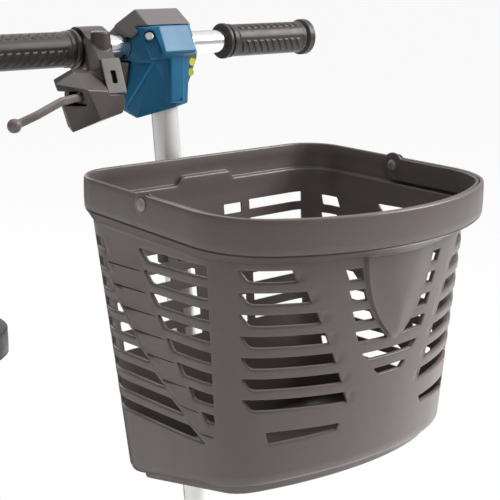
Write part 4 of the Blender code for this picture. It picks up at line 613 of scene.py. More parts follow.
yellow_mark = plastic("blank_mark", srgb(214, 208, 62), rough=0.35, grain=0.2,
                      grain_scale=1800, var=0.03, wear_and_highlight=0.1)
green_mark = plastic("blank_mark_green", srgb(176, 196, 60), rough=0.35, grain=0.2,
                     grain_scale=1800, var=0.03, wear_and_highlight=0.1)

# ============================================================ basket: plan and wall
# Plan outlines: half widths, y and corner radii at back and front, and the front's bow.
RIM = dict(back_half=0.1427, back_y=-0.0779, front_y=-0.3467, back_r=0.0377,
           front_r=0.0383, bow=0.0558, front_half=0.1455)
WALL_TOP = dict(back_half=0.1380, back_y=-0.0832, front_y=-0.3320, back_r=0.0345,
                front_r=0.0330, bow=0.0555, front_half=0.1395)
WALL_BASE = dict(back_half=0.1239, back_y=-0.1178, front_y=-0.3173, back_r=0.0340,
                 front_r=0.0300, bow=0.0437, front_half=0.1239)
CORNER_STEPS, FRONT_STEPS = 30, 44
RIM_TOP, RIM_LOW = -0.0940, -0.1210
FLOOR_Z, FLOOR_RISE = -0.3624, 0.256     # floor height at y = -0.1, its rise towards the front
WALL = 0.0030
ROW_PITCH, ROW_0, SLOT_H = 0.0174, -0.1365, 0.0092    # slot rows: pitch, first top, height
OPEN_TOP = RIM_LOW - 0.0095              # top of the open wall, under the shoulder

# The wall is drawn unrolled, in mm: s runs round it and t down it. `turn` is the place
# round the basket: 0 at the back centre, 1 at the front centre by way of -X, 2 at the
# back again by way of +X.
HALF_ROUND = 440.0
TALL = 200.0
COLUMNS, ROWS = 352, 80
LINE_STEP = 2.2                          # longest piece of a slot's side

# Sections of the shell. Rim: inset from the rim outline, height.
RIM_SECTION = (
    (0.0009, RIM_LOW - 0.0016), (0.0014, RIM_LOW - 0.0010), (0.0016, RIM_LOW - 0.0002),
    (0.0009, RIM_LOW), (0.0003, RIM_LOW + 0.0003), (0.0000, RIM_LOW + 0.0010),
    (-0.0003, RIM_LOW + 0.0060), (-0.0004, (RIM_LOW + RIM_TOP) / 2),
    (-0.0003, RIM_TOP - 0.0060), (0.0000, RIM_TOP - 0.0016), (0.0004, RIM_TOP - 0.0005),
    (0.0011, RIM_TOP), (0.0029, RIM_TOP), (0.0036, RIM_TOP - 0.0005),
    (0.0040, RIM_TOP - 0.0016), (0.0040, RIM_TOP - 0.0100))
# Ledge inside the rim: inset from the rim outline, height over the ledge.
LEDGE_SECTION = ((0.0040, 0.0010), (0.0044, 0.0002), (0.0052, 0.0), (0.0080, -0.0001),
                 (0.0086, -0.0006), (0.0089, -0.0018))
# Shoulder between wall and rim: share of the way out, extra height.
SHOULDER_SECTION = ((0.10, -0.0004), (0.28, -0.0006), (0.6, 0.0), (0.9, 0.0))
# Base, upper and under sides: inset from the wall's base outline, height over the floor.
BASE_UPPER = ((0.0036, 0.0062), (0.0048, 0.0042), (0.0070, 0.0032), (0.0140, 0.0030),
              (0.0152, 0.0024), (0.0160, 0.0010), (0.0164, -0.0036), (0.0172, -0.0047),
              (0.0186, -0.0050))
BASE_UNDER = ((0.0002, 0.0060), (0.0010, 0.0038), (0.0024, 0.0018), (0.0044, 0.0005),
              (0.0066, 0.0000), (0.0108, -0.0002), (0.0117, -0.0010), (0.0124, -0.0062),
              (0.0130, -0.0074), (0.0142, -0.0080))
BASE_CENTRE = np.array([0.0, -0.215])
BASE_SHRINKS = (0.85, 0.70, 0.55, 0.40, 0.25, 0.12)


def ease(x):
    x = np.clip(x, 0, 1)
    return x * x * (3 - 2 * x)


def bezier(start, pull, end, t):
    return (1 - t) ** 2 * start + 2 * t * (1 - t) * pull + t * t * end


def half_outline(size, inset=0.0):
    """half outline on the -X side from the back centre to the front centre"""
    back_half, front_half = size["back_half"] - inset, size["front_half"] - inset
    back_y, front_y = size["back_y"] - inset, size["front_y"] + inset
    back_r = max(size["back_r"] - inset, 0.004)
    front_r = max(size["front_r"] - inset, 0.004)
    bow = size["bow"] * (front_half / size["front_half"]) ** 2
    points = [(0.0, back_y)]
    for k in range(CORNER_STEPS + 1):
        angle = math.radians(90 + 90 * k / CORNER_STEPS)
        points.append((-(back_half - back_r) + back_r * math.cos(angle),
                       back_y - back_r + back_r * math.sin(angle)))
    # the front is an arc; a curve joins it to the side
    radius = (front_half * front_half + bow * bow) / (2 * bow)
    centre_y = front_y + radius
    arc_x = front_half - front_r
    drop = math.sqrt(radius * radius - arc_x * arc_x)
    arc_y = centre_y - drop
    start = np.array((-front_half, front_y + bow + front_r))
    pull = np.array((-front_half, arc_y + arc_x / drop * front_r))
    end = np.array((-arc_x, arc_y))
    points += [bezier(start, pull, end, k / CORNER_STEPS) for k in range(CORNER_STEPS + 1)]
    for k in range(1, FRONT_STEPS + 1):
        x = -arc_x * (1 - k / FRONT_STEPS)
        points.append((x, centre_y - math.sqrt(radius * radius - x * x)))
    return np.array(points)


def along(points, shares):
    """points at given shares of an open line's length"""
    run = np.concatenate([[0.0], np.cumsum(np.hypot(*np.diff(points, axis=0).T))])
    places = np.asarray(shares, float) * run[-1]
    return np.stack([np.interp(places, run, points[:, k]) for k in (0, 1)], -1)


def folded(turn):
    """share of the way along one half, and whether it is the +X half"""
    turn = np.asarray(turn, float) % 2.0
    left = turn > 1
    return np.where(left, 2 - turn, turn), left


def plan_ring(size, inset, turn):
    share, left = folded(turn)
    plan = along(half_outline(size, inset), share)
    plan[:, 0] = np.where(left, -plan[:, 0], plan[:, 0])
    return plan


def floor_z(y):
    return FLOOR_Z + FLOOR_RISE * (-y - 0.1)


TOP_HALF, BASE_HALF = half_outline(WALL_TOP), half_outline(WALL_BASE)


def wall_xyz(turn, z):
    share, left = folded(turn)
    top, base = along(TOP_HALF, share), along(BASE_HALF, share)
    down = (z - RIM_LOW) / (floor_z(base[:, 1]) - RIM_LOW)
    x, y = (top * (1 - down)[:, None] + base * down[:, None]).T
    return np.stack([np.where(left, -x, x), y, z + 0 * x], -1)


def wall_normal(turn, z):
    """unit normals pointing out of the basket"""
    across = wall_xyz(turn + 2e-3, z) - wall_xyz(turn - 2e-3, z)
    up = wall_xyz(turn, z + 1e-4) - wall_xyz(turn, z - 1e-4)
    normal = np.cross(across, up)
    normal /= np.linalg.norm(normal, axis=1)[:, None]
    outwards = wall_xyz(turn, z) - np.array([0, -0.21, 0])
    outwards[:, 2] = 0
    return normal * np.sign((normal * outwards).sum(1))[:, None]


def wall_at(turn, z, height):
    """wall points set a height outside the plain wall"""
    return wall_xyz(turn, z) + wall_normal(turn, z) * np.reshape(height, (-1, 1))


def open_low(turn):
    """bottom of the open wall"""
    return floor_z(along(BASE_HALF, folded(turn)[0])[:, 1]) + 0.0080


def to_flat(turn, z):
    down = (z - OPEN_TOP) / (open_low(turn) - OPEN_TOP)
    return np.stack([np.asarray(turn, float) * HALF_ROUND, down * TALL], -1)


def from_flat(flat):
    turn = flat[:, 0] / HALF_ROUND
    return turn, OPEN_TOP + (open_low(turn) - OPEN_TOP) * flat[:, 1] / TALL


# ============================================================ basket: pattern of the wall
def row_z(k, y):
    """top of a side row, slightly higher towards the front between y = -0.11 and -0.26"""
    return ROW_0 - ROW_PITCH * k - 0.05 * (max(min(y, -0.11), -0.26) + 0.26)


def rear_fan_end(z):
    """y of the rear fan's front edge on the side wall"""
    t = max((-0.139 - z) / 0.144, 0.0)
    return -0.115 - (0.045 * t + 0.0373 * t * t + 0.0427 * t ** 3)


def front_fan_start(z):
    """y of the front fan's rear edge on the side wall"""
    t = max((-0.141 - z) / 0.118, 0.0)
    return -0.181 - (0.020 * t + 0.043 * t * t)


def shield_turn(z):
    """edge of the shield on the front; it narrows downwards to a point"""
    t = np.clip((-0.124 - z) / 0.080, 0.0, 1.0)
    return 0.916 + 0.018 * t + 0.062 * t ** 3.2


def corner_slot_end(k):
    """end nearer the front centre of the slots round the front corner"""
    return 0.798 + 0.104 * (k / 6) ** 0.8


SIDE_TURNS = np.linspace(0.34, 0.66, 321)
SIDE_Y = wall_xyz(SIDE_TURNS, np.full(321, -0.20))[:, 1]


def turn_at_y(y):
    return float(np.interp(-y, -SIDE_Y, SIDE_TURNS))


def rounded_polygon(corners, radii):
    """closed polygon with its corners rounded and its long sides split"""
    corners = [np.array(corner, float) for corner in corners]
    arcs = []
    for i, corner in enumerate(corners):
        before, after = corners[i - 1] - corner, corners[(i + 1) % len(corners)] - corner
        before_len, after_len = np.linalg.norm(before), np.linalg.norm(after)
        before, after = before / before_len, after / after_len
        angle = math.acos(max(-1, min(1, float(before @ after))))
        trim = min(radii[i] / max(math.tan(angle / 2), 0.2), before_len * 0.48, after_len * 0.48)
        start, stop = corner + before * trim, corner + after * trim
        steps = 6 if radii[i] > 2 else (4 if radii[i] > 0.9 else 2)
        arcs.append([bezier(start, corner, stop, t) for t in np.linspace(0, 1, steps + 1)])
    points = []
    for i, arc in enumerate(arcs):
        points += arc
        start, stop = arc[-1], arcs[(i + 1) % len(arcs)][0]
        splits = int(np.linalg.norm(stop - start) / LINE_STEP)
        points += [start + (stop - start) * j / (splits + 1) for j in range(1, splits + 1)]
    kept = []
    for point in points:
        if not kept or np.linalg.norm(point - kept[-1]) > 0.05:
            kept.append(point)
    if np.linalg.norm(kept[0] - kept[-1]) < 0.05:
        kept.pop()
    return np.array(kept)


def grown(poly, distance):
    """polygon pushed outwards"""
    after = np.roll(poly, -1, 0)
    area = 0.5 * np.sum(poly[:, 0] * after[:, 1] - after[:, 0] * poly[:, 1])
    edge = after - poly
    edge /= np.linalg.norm(edge, axis=1)[:, None]
    normal = np.stack([edge[:, 1], -edge[:, 0]], -1) * (1.0 if area > 0 else -1.0)
    mitre = normal + np.roll(normal, 1, 0)
    length = np.linalg.norm(mitre, axis=1)
    reach = 1.0 / np.clip(length / 2, 0.6, 1.0)
    return poly + mitre / length[:, None] * (distance * reach)[:, None]


def inside(poly, points):
    x, y = points[:, 0], points[:, 1]
    result = np.zeros(len(points), bool)
    for (x0, y0), (x1, y1) in zip(poly, np.roll(poly, 1, 0)):
        result ^= ((y0 > y) != (y1 > y)) & (x < (x1 - x0) * (y - y0) / (y1 - y0 + 1e-12) + x0)
    return result


def line_distance(line, points, closed=False):
    nearest = np.full(len(points), 1e9)
    stops = np.vstack([line[1:], line[:1]]) if closed else line[1:]
    for start, stop in zip(line, stops):
        span = stop - start
        t = np.clip(((points - start) @ span) / max(span @ span, 1e-12), 0, 1)
        offset = points - (start + t[:, None] * span)
        nearest = np.minimum(nearest, np.linalg.norm(offset, axis=1))
    return nearest


def in_box(points, line, margin):
    low, high = line.min(0) - margin, line.max(0) + margin
    return np.where(((points > low) & (points < high)).all(1))[0]


def cleared(points, line, margin, closed=False):
    """points left once those near a line, or inside a closed one, are taken out"""
    near = in_box(points, line, 3)
    bad = line_distance(line, points[near], closed) < margin
    if closed:
        bad |= inside(line, points[near])
    return np.delete(points, near[bad], axis=0)


def mirrored(flat):
    flat = flat.copy()
    flat[:, 0] = 2 * HALF_ROUND - flat[:, 0]
    return flat[::-1]


def wall_slots():
    """flat outlines of all slots; corners are (turn, z), radii in mm"""
    half = []

    def outline(corners, radii):
        turn, z = np.array(corners).T
        return rounded_polygon(to_flat(turn, z), radii)

    # rear fan of the side wall
    for k in range(9):
        back_z = row_z(k, -0.12)
        z = row_z(k, rear_fan_end(back_z))
        top_end = max(turn_at_y(rear_fan_end(z + 0.002)), 0.343)
        low_end = max(turn_at_y(rear_fan_end(z - SLOT_H - 0.001)), 0.352)
        half.append(outline(((0.300, back_z), (top_end, z), (low_end, z - SLOT_H),
                             (0.304, back_z - SLOT_H)), (0.6, 0.7, 0.6, 1.4)))
    # front fan of the side wall
    for k in range(8):
        front_z = row_z(k, -0.26)
        start_y = front_fan_start(front_z - 0.003)
        back_z = row_z(k, start_y)
        top_start = turn_at_y(start_y + 0.0015)
        low_start = turn_at_y(start_y - 0.0075 + 0.0006 * k)
        end = turn_at_y(-0.2610 + 0.0004 * k)
        height = SLOT_H if k < 7 else SLOT_H * 0.8
        half.append(outline(((top_start, back_z), (end, front_z), (end, front_z - height),
                             (low_start, back_z - height)), (0.5, 0.6, 0.6, 6.0)))
    # round the front corner, with one low slot under them
    for k in range(7):
        z = ROW_0 - ROW_PITCH * k
        end = corner_slot_end(k)
        half.append(outline(((0.703 - 0.001 * k, z), (end - 0.008, z), (end, z - SLOT_H),
                             (0.719 - 0.001 * k, z - SLOT_H)), (0.6, 0.6, 0.8, 7.5)))
    half.append(outline(((0.738, -0.2682), (0.886, -0.2672), (0.880, -0.2724),
                         (0.744, -0.2784)), (0.8, 0.6, 0.6, 1.6)))
    # short slots beside the shield
    for k in range(4):
        z = ROW_0 - 0.003 - ROW_PITCH * k
        low = z - SLOT_H
        half.append(outline(((0.884 + 0.009 * k, z), (shield_turn(z) - 0.004, z),
                             (shield_turn(low) - 0.004, low), (0.892 + 0.009 * k, low)),
                            (0.6, 0.5, 0.6, 1.6)))
    # back wall
    for k in range(7):
        for start, end, drop in ((0.108, 0.252, 0.0), (0.041, 0.088, 0.0012)):
            z = ROW_0 - ROW_PITCH * k - 0.0043 - drop
            half.append(outline(((start, z), (end, z), (end, z - SLOT_H),
                                 (start, z - SLOT_H)), (0.7, 0.7, 0.7, 0.7)))
    # across the front centre, under the shield
    centre = []
    for start, end, top, low, slant in ((0.928, 1.072, -0.2110, -0.2170, 0.016),
                                        (0.958, 1.042, -0.2262, -0.2318, 0.014)):
        centre.append(outline(((start, top), (1.0, top), (end, top), (end - slant, low),
                               (1.0, low), (start + slant, low)),
                              (0.7, 0.0, 0.7, 1.2, 0.0, 1.2)))
    return half + [mirrored(slot) for slot in half] + centre


def step_lines():
    """L-shaped steps between the two fans of each side wall, drawn flat"""
    lines = []
    for k in range(1, 9):
        top_z = row_z(k - 1, -0.17) - 0.0035
        corner_z = row_z(k, rear_fan_end(row_z(k, -0.14))) - 0.0006
        corner_y = rear_fan_end(corner_z) - 0.0058
        end_y = min(front_fan_start(corner_z) + 0.0035, corner_y - 0.012)
        y = (rear_fan_end(top_z) - 0.0052, corner_y, end_y)
        z = (top_z, corner_z, row_z(k, end_y) - 0.0006)
        top, corner, end = to_flat(np.array([turn_at_y(value) for value in y]), np.array(z))
        rise = np.linalg.norm(top - corner)
        trim = min(4.5, rise * 0.6)
        start = corner + (top - corner) / rise * trim
        stop = corner + (end - corner) / np.linalg.norm(end - corner) * trim
        lines.append(np.array(
            [top] + [bezier(start, corner, stop, t) for t in np.linspace(0, 1, 6)]
            + [stop + (end - stop) * t for t in (0.33, 0.66, 1.0)]))
    return lines + [mirrored(line) for line in lines]


def wall_relief(turn, z):
    """height of the wall's own relief: the front shield and the shallow tails at
    the ends of the corner slots"""
    share = folded(turn)[0]
    z = np.asarray(z, float) + 0 * share
    within = (share - shield_turn(z)) * HALF_ROUND           # mm inside the shield's edge
    tip = np.clip((z + 0.206) / 0.010, 0, 1)
    step = 3.1 * ease((within + 0.3) / 1.7) * ease(tip)
    dome = 2.6 * ease(within / 30.0) * ease(tip)
    row = np.clip(np.round((ROW_0 - SLOT_H / 2 - z) / ROW_PITCH), 0, 6)
    row_middle = ROW_0 - SLOT_H / 2 - ROW_PITCH * row
    beyond = (share - corner_slot_end(row)) * HALF_ROUND     # mm past the slot's end
    band = ease((SLOT_H / 2 - np.abs(z - row_middle)) / 0.0015)
    tail = ease((beyond + 1.0) / 2.0) * (1 - ease((beyond - 1.0) / 7.5))
    return (step + dome) * 0.001 - 0.0008 * band * tail * (beyond > -4)


class FlatPattern:
    """points with heights in mm, and the edges that must be kept"""
    def __init__(self):
        self.points, self.heights, self.edges = [], [], []

    def add(self, line, height, closed=False):
        first, count = len(self.points), len(line)
        self.points.extend(line.tolist())
        self.heights.extend(np.broadcast_to(height, count).tolist())
        self.edges.extend((first + i, first + (i + 1) % count)
                          for i in range(count if closed else count - 1))


def towards_front(points, line):
    """how far points lie towards the front centre, on the line's own half"""
    return points[:, 0] if line[0][0] < HALF_ROUND else -points[:, 0]


def add_step(pattern, line):
    """a raised line with a sunk groove on its rear side"""
    t = np.linspace(0, 1, len(line))
    edge = np.gradient(line, axis=0)
    edge /= np.linalg.norm(edge, axis=1)[:, None]
    normal = np.stack([edge[:, 1], -edge[:, 0]], -1)
    to_front = np.array([8 if line[0][0] < HALF_ROUND else -8, 0.0])
    if normal[0] @ to_front > 0:
        normal = -normal
    front = towards_front(line, line)
    fade = ease((front.max() - front) / 9.0) * (0.35 + 0.65 * ease(t * 4))
    for shift, height in ((0.0, 1.3), (0.40, -0.9), (0.95, -0.9), (1.50, 0.0)):
        pattern.add(line + normal * shift, height * fade)


def add_shield_edge(pattern):
    """lines along the shield's stepped edge, on both halves"""
    lines = []
    z = np.linspace(-0.1245, -0.2040, 46)
    for shift in (-0.3, 0.5, 1.5):
        turn = shield_turn(z) + shift / HALF_ROUND
        line = to_flat(turn, z)
        line = line[(turn < 0.997) & (line[:, 1] > 0.5)]
        for side in (line, np.stack([2 * HALF_ROUND - line[:, 0], line[:, 1]], -1)):
            pattern.add(side, 0.0)
            lines.append(side)
    return lines


def slope_heights(points, steps):
    """heights of the plates that slope away from the raised steps"""
    heights = np.zeros(len(points))
    for line in steps:
        plate = np.vstack([line, line[-1] + (0, -13.5), line[0] + (0, -1.0)])
        near = in_box(points, plate, 1)
        near = near[inside(plate, points[near])]
        if len(near):
            fall = 1 - np.clip(line_distance(line, points[near]) / 13.0, 0, 1)
            end = towards_front(line, line).max()
            fade = ease((end - towards_front(points[near], line)) / 9.0)
            heights[near] = np.maximum(heights[near], fall * fade)
    return heights


def unrolled_wall(grid_s):
    """flat points, their heights in mm and triangles, the slots left open"""
    grid_t = np.linspace(0, TALL, ROWS + 1)
    pattern = FlatPattern()
    border = ([(s, 0.0) for s in grid_s] + [(2 * HALF_ROUND, t) for t in grid_t[1:]]
              + [(s, TALL) for s in grid_s[::-1][1:]] + [(0.0, t) for t in grid_t[::-1][1:-1]])
    pattern.add(np.array(border), 0.0, closed=True)
    slots, steps = wall_slots(), step_lines()
    lips = []
    for slot in slots:
        # rounded lip: the slot's edge is sunk, the outermost line is level
        lip = grown(slot, 1.25)
        pattern.add(slot, -0.85, closed=True)
        pattern.add(grown(slot, 0.55), -0.24, closed=True)
        pattern.add(lip, 0.0, closed=True)
        lips.append(lip)
    for line in steps:
        add_step(pattern, line)
    shield_lines = add_shield_edge(pattern)
    mesh_s, mesh_t = np.meshgrid(grid_s[1:-1], grid_t[1:-1])
    grid = np.stack([mesh_s.ravel(), mesh_t.ravel()], -1)
    for lip in lips:
        grid = cleared(grid, lip, 0.9, closed=True)
    for line in steps:
        grid = cleared(grid, line, 1.9)
    for line in shield_lines:
        grid = cleared(grid, line, 0.6)
    points = pattern.points + grid.tolist()
    given = np.array(pattern.heights + slope_heights(grid, steps).tolist())

    made = delaunay_2d_cdt([Vector(p) for p in points], pattern.edges, [], 0, 1e-4, True)
    flat = np.array([tuple(v) for v in made[0]])
    faces = np.array([face for face in made[2] if len(face) == 3])
    heights = np.zeros(len(flat))
    for i, sources in enumerate(made[3]):
        if sources:
            heights[i] = given[list(sources)].min()
    centres = flat[faces].mean(1)
    drop = np.zeros(len(faces), bool)
    for slot in slots:
        near = in_box(centres, slot, 0)
        drop[near[inside(slot, centres[near])]] = True
    faces = faces[~drop]
    # turn every triangle the same way round
    first, second, third = (flat[faces[:, k]] for k in range(3))
    side, other = second - first, third - first
    area = side[:, 0] * other[:, 1] - side[:, 1] * other[:, 0]
    faces, area = faces[np.abs(area) > 1e-7], area[np.abs(area) > 1e-7]
    faces[area < 0] = faces[area < 0][:, ::-1]
    return flat, heights, faces


def slot_edges(flat, faces):
    """edges used by one triangle only, away from the pattern's border"""
    edges = np.vstack([faces[:, [0, 1]], faces[:, [1, 2]], faces[:, [2, 0]]])
    _, first, uses = np.unique(np.sort(edges, 1), axis=0, return_index=True, return_counts=True)
    lone = edges[first[uses == 1]]
    size = np.array([2 * HALF_ROUND, TALL])
    border = ((flat < 1e-3) | (flat > size - 1e-3)).any(1)
    return lone[~(border[lone[:, 0]] & border[lone[:, 1]])]


# ============================================================ basket: shell
def lifted(plan, z):
    return np.column_stack([plan, z + 0 * plan[:, 0]])


def blended(first, second, share, lift=0.0):
    ring = first * (1 - share) + second * share
    ring[:, 2] += lift
    return ring


def ledge_ring(turn, inset, height):
    """ring of the ledge, raised to a tab at the back centre"""
    plan = plan_ring(RIM, inset, turn)
    x, y = plan.T
    tab = np.clip((0.0325 - np.abs(x)) / 0.006, 0, 1) * (y > -0.10)
    return lifted(plan, RIM_LOW + 0.0035 + height + 0.0070 * ease(tab))


def base_rings(turn, section):
    plans = [(plan_ring(WALL_BASE, inset, turn), height) for inset, height in section]
    last, height = plans[-1]
    plans += [(last * share + BASE_CENTRE * (1 - share), height) for share in BASE_SHRINKS]
    return [lifted(plan, floor_z(plan[:, 1]) + height) for plan, height in plans]


def basket_mesh():
    grid_s = np.arange(COLUMNS + 1) * (2 * HALF_ROUND / COLUMNS)
    flat, heights, triangles = unrolled_wall(grid_s)
    turn, z = from_flat(flat)
    parts = [wall_at(turn, z, heights * 0.001 + wall_relief(turn, z)), wall_at(turn, z, -WALL)]
    count = len(flat)
    faces = triangles.tolist() + (triangles[:, ::-1] + count).tolist()
    faces += [[int(b), int(a), int(a) + count, int(b) + count]
              for a, b in slot_edges(flat, triangles)]

    def add_rings(rings, flip=False, cap=False):
        start = sum(map(len, parts))
        way = -1 if flip else 1
        parts.extend(rings)
        for i in range(len(rings) - 1):
            for k in range(COLUMNS):
                a = start + i * COLUMNS + k
                b = start + i * COLUMNS + (k + 1) % COLUMNS
                faces.append([a, b, b + COLUMNS, a + COLUMNS][::way])
        if cap:
            parts.append(rings[-1].mean(0)[None])
            last = start + (len(rings) - 1) * COLUMNS
            for k in range(COLUMNS):
                faces.append([last + k, last + (k + 1) % COLUMNS, last + COLUMNS][::way])

    # rim, ledge and base stand on the same columns as the wall
    turn = grid_s[:-1] / HALF_ROUND
    low = open_low(turn)
    top_outer = wall_at(turn, OPEN_TOP, wall_relief(turn, OPEN_TOP))
    top_inner = wall_at(turn, OPEN_TOP, -WALL)
    low_outer = wall_at(turn, low, wall_relief(turn, low))
    low_inner = wall_at(turn, low, -WALL)
    rim = [lifted(plan_ring(RIM, inset, turn), z) for inset, z in RIM_SECTION]
    shoulder = [blended(top_outer, rim[0], *step) for step in SHOULDER_SECTION]
    ledge = [ledge_ring(turn, *step) for step in LEDGE_SECTION]
    return_wall = [blended(ledge[-1], top_inner, share) for share in (0.3, 0.75)]
    add_rings([top_outer] + shoulder + rim + ledge + return_wall + [top_inner])
    add_rings([low_inner] + base_rings(turn, BASE_UPPER), flip=True, cap=True)
    add_rings([low_outer] + base_rings(turn, BASE_UNDER), cap=True)
    points = np.vstack(parts) + np.array([0, BAR_Y, BAR_Z])
    return solid(points.tolist(), faces, merge=5e-6)


# ============================================================ basket: bail
BAIL_PIVOT = Vector(JOINTS["bail_swing"]["pos_m"])
BAIL_INSET = 0.0063                      # from the rim outline to the strap's middle
BAIL_HALF_T = 0.0015
BAIL_LOW, BAIL_HIGH = -0.0135, 0.0070    # strap's edges from the pivot's height
BAIL_HOLE_R = 0.0035


def bail_half_width():
    """distance of the strap's middle from the centre plane at the pivot"""
    y = BAIL_PIVOT.y - BAR_Y
    near, far = along(half_outline(RIM, BAIL_INSET), [0.50, 0.42])
    return abs(near[0] + (far[0] - near[0]) * (y - near[1]) / (far[1] - near[1]))


BAIL_X = bail_half_width()


def bail_section():
    """rounded rectangle: across the strap, up"""
    half_h, corner = (BAIL_HIGH - BAIL_LOW) / 2, 0.0012
    section = []
    for side, up, start in ((1, 1, 0), (-1, 1, 90), (-1, -1, 180), (1, -1, 270)):
        for k in range(4):
            angle = math.radians(start + 30 * k)
            section.append((side * (BAIL_HALF_T - corner) + corner * math.cos(angle),
                            up * (half_h - corner) + corner * math.sin(angle)))
    return section


def bail_mesh():
    """flat strap inside the rim with an ear and a pin hole at each end"""
    y, z = BAIL_PIVOT.y - BAR_Y, BAIL_PIVOT.z - BAR_Z
    shares = np.concatenate([np.arange(0.44, 0.62, 0.01), np.arange(0.62, 0.75, 0.004),
                             np.arange(0.75, 1.0001, 0.0125)])
    shares[-1] = 1.0
    half = along(half_outline(RIM, BAIL_INSET), shares)
    half = half[half[:, 1] < y - 0.010]
    half = np.vstack([[(-BAIL_X, y + 0.004)], [(-BAIL_X, y - 0.004)], half])
    path = np.vstack([half, half[-2::-1] * (-1, 1)])
    tangent = np.gradient(path, axis=0)
    tangent /= np.linalg.norm(tangent, axis=1)[:, None]
    normal = np.stack([-tangent[:, 1], tangent[:, 0]], -1)
    middle = z + (BAIL_LOW + BAIL_HIGH) / 2
    section = bail_section()
    strap = loft([[from_bar(*(point + side * across), middle + up) for across, up in section]
                  for point, side in zip(path, normal)])
    ears, holes = [], []
    for side, ear_r in ((-1, 0.0078), (1, 0.0116)):
        profile = [(BAIL_HOLE_R, -BAIL_HALF_T), (ear_r - 0.0012, -BAIL_HALF_T),
                   (ear_r, -0.0008), (ear_r, 0.0008), (ear_r - 0.0012, BAIL_HALF_T),
                   (BAIL_HOLE_R, BAIL_HALF_T)]
        ears.append(revolve(profile, 48, from_bar(side * BAIL_X, y, z), (side, 0, 0),
                            closed=True))
        holes.append(rod(from_bar(side * 0.12, y, z), from_bar(side * 0.16, y, z),
                         BAIL_HOLE_R, 32))
    return cut(union(strap, *ears), joined(holes))


# Pin, domed outside the rim and with a crossed head inside: radius, height outwards.
BAIL_PIN = [(0.0, -0.0034), (0.0020, -0.0033), (0.0040, -0.0028), (0.0050, -0.0019),
            (0.0050, -0.0017), (0.0031, -0.0017), (0.0031, 0.0066), (0.0052, 0.0066),
            (0.0054, 0.0071), (0.0050, 0.0080), (0.0034, 0.0086), (0.0, 0.0088)]
# Boss round the pin on the rim's outer face: radius, height outwards.
RIM_BOSS = [(0.0062, 0.0058), (0.0092, 0.0062), (0.0096, 0.0065), (0.0092, 0.0067),
            (0.0066, 0.0067), (0.0062, 0.0064)]


def add_bail_pin(side, name):
    centre = (side * BAIL_X, BAIL_PIVOT.y, BAIL_PIVOT.z)
    cross = (side * (BAIL_X - 0.0032), BAIL_PIVOT.y, BAIL_PIVOT.z)
    pin = cut(revolve(BAIL_PIN, 32, centre, (side, 0, 0)),
              block(cross, (0.0012, 0.0060, 0.0010)), block(cross, (0.0012, 0.0010, 0.0060)))
    place("bail_pin_%s_fine" % name, pin, pin_plastic, "bail_pin_" + name, sharp=35)
    boss = revolve(RIM_BOSS, 56, centre, (side, 0, 0), closed=True)
    extra("rim_boss_" + name, boss, basket_plastic, "basket", sharp=35)


place("basket_shell", basket_mesh(), basket_plastic, "basket_body", sharp=50)
place("basket_bail_strap", bail_mesh(), bail_plastic, "basket_bail", sharp=40)
add_bail_pin(1, "left")
add_bail_pin(-1, "right")

# ============================================================ grips
BAR_R = 0.0111
BAR_LEN = 0.400
GRIP_LEN = 0.115
GRIP_R = 0.01625
GRIP_STEPS, GRIP_SIDES = 300, 144
RIB_PITCH = 0.0083
# Flanges and, with a negative height, grooves: centre from the inner end, width, edge, height.
GRIP_FLANGES = (
    (0.0018, 0.0036, 0.0008, 0.0016), (0.0085, 0.0030, 0.0008, 0.0007),
    (GRIP_LEN - 0.0062, 0.0064, 0.0018, 0.0024), (0.0056, 0.0006, 0.0005, -0.0010),
    (GRIP_LEN - 0.0118, 0.0006, 0.0005, -0.0009))
# Dished outer end, then the bore back to the inner end: depth from the outer end, radius.
GRIP_END = (
    (0.0, 0.0148), (0.0006, 0.0135), (0.0008, 0.0060), (0.0004, 0.0050), (0.0008, 0.0040),
    (0.0032, 0.0038), (0.0033, BAR_R + 0.0002), (GRIP_LEN, BAR_R + 0.0002),
    (GRIP_LEN, BAR_R + 0.0016))


def grip_radii(length, angle):
    """radius at each length from the inner end and angle (0 forward, 90 degrees up)"""
    radius = np.full_like(length, GRIP_R - 0.0004)
    for centre, width, edge, height in GRIP_FLANGES:
        radius += height * ease((width / 2 + edge - np.abs(length - centre)) / edge)
    # the pattern at the rear mirrors the one at the front
    deg = np.degrees(angle)
    deg = np.where(deg > 180, deg - 360, deg)
    deg = np.where(np.abs(deg) > 90, np.sign(deg) * (180 - np.abs(deg)), deg)

    def between(start, end):
        return ease((length - start) / 0.0010) * ease((GRIP_LEN - end - length) / 0.0010)

    def band(low, high):
        return ease((deg - low) / 3.0 + 0.5) * ease((high - deg) / 3.0 + 0.5)

    body = between(0.0125, 0.0160)
    upper, lower = band(47, 78), band(-52, 6)
    radius += 0.0005 * band(10, 43) * body
    radius -= 0.0004 * (upper + lower) * body
    for ribbed, middle, half in ((upper, 62, 13), (lower, -23, 26)):
        arc = np.radians(deg - middle) * GRIP_R
        phase = (length - 0.0150 + arc * 0.62) % RIB_PITCH
        rib = ease((0.0031 - np.abs(phase - RIB_PITCH / 2)) / 0.0009)
        limit = ease((half - 2.5 - np.abs(deg - middle)) / 3.0 + 0.5)
        radius += ribbed * between(0.0160, 0.0195) * limit * (0.00115 * rib - 0.0004)
    # rounded ends
    radius -= 0.0006 * (1 - ease(length / 0.0007))
    radius -= 0.0022 * (1 - ease((GRIP_LEN - length) / 0.0030)) ** 1.5
    return radius


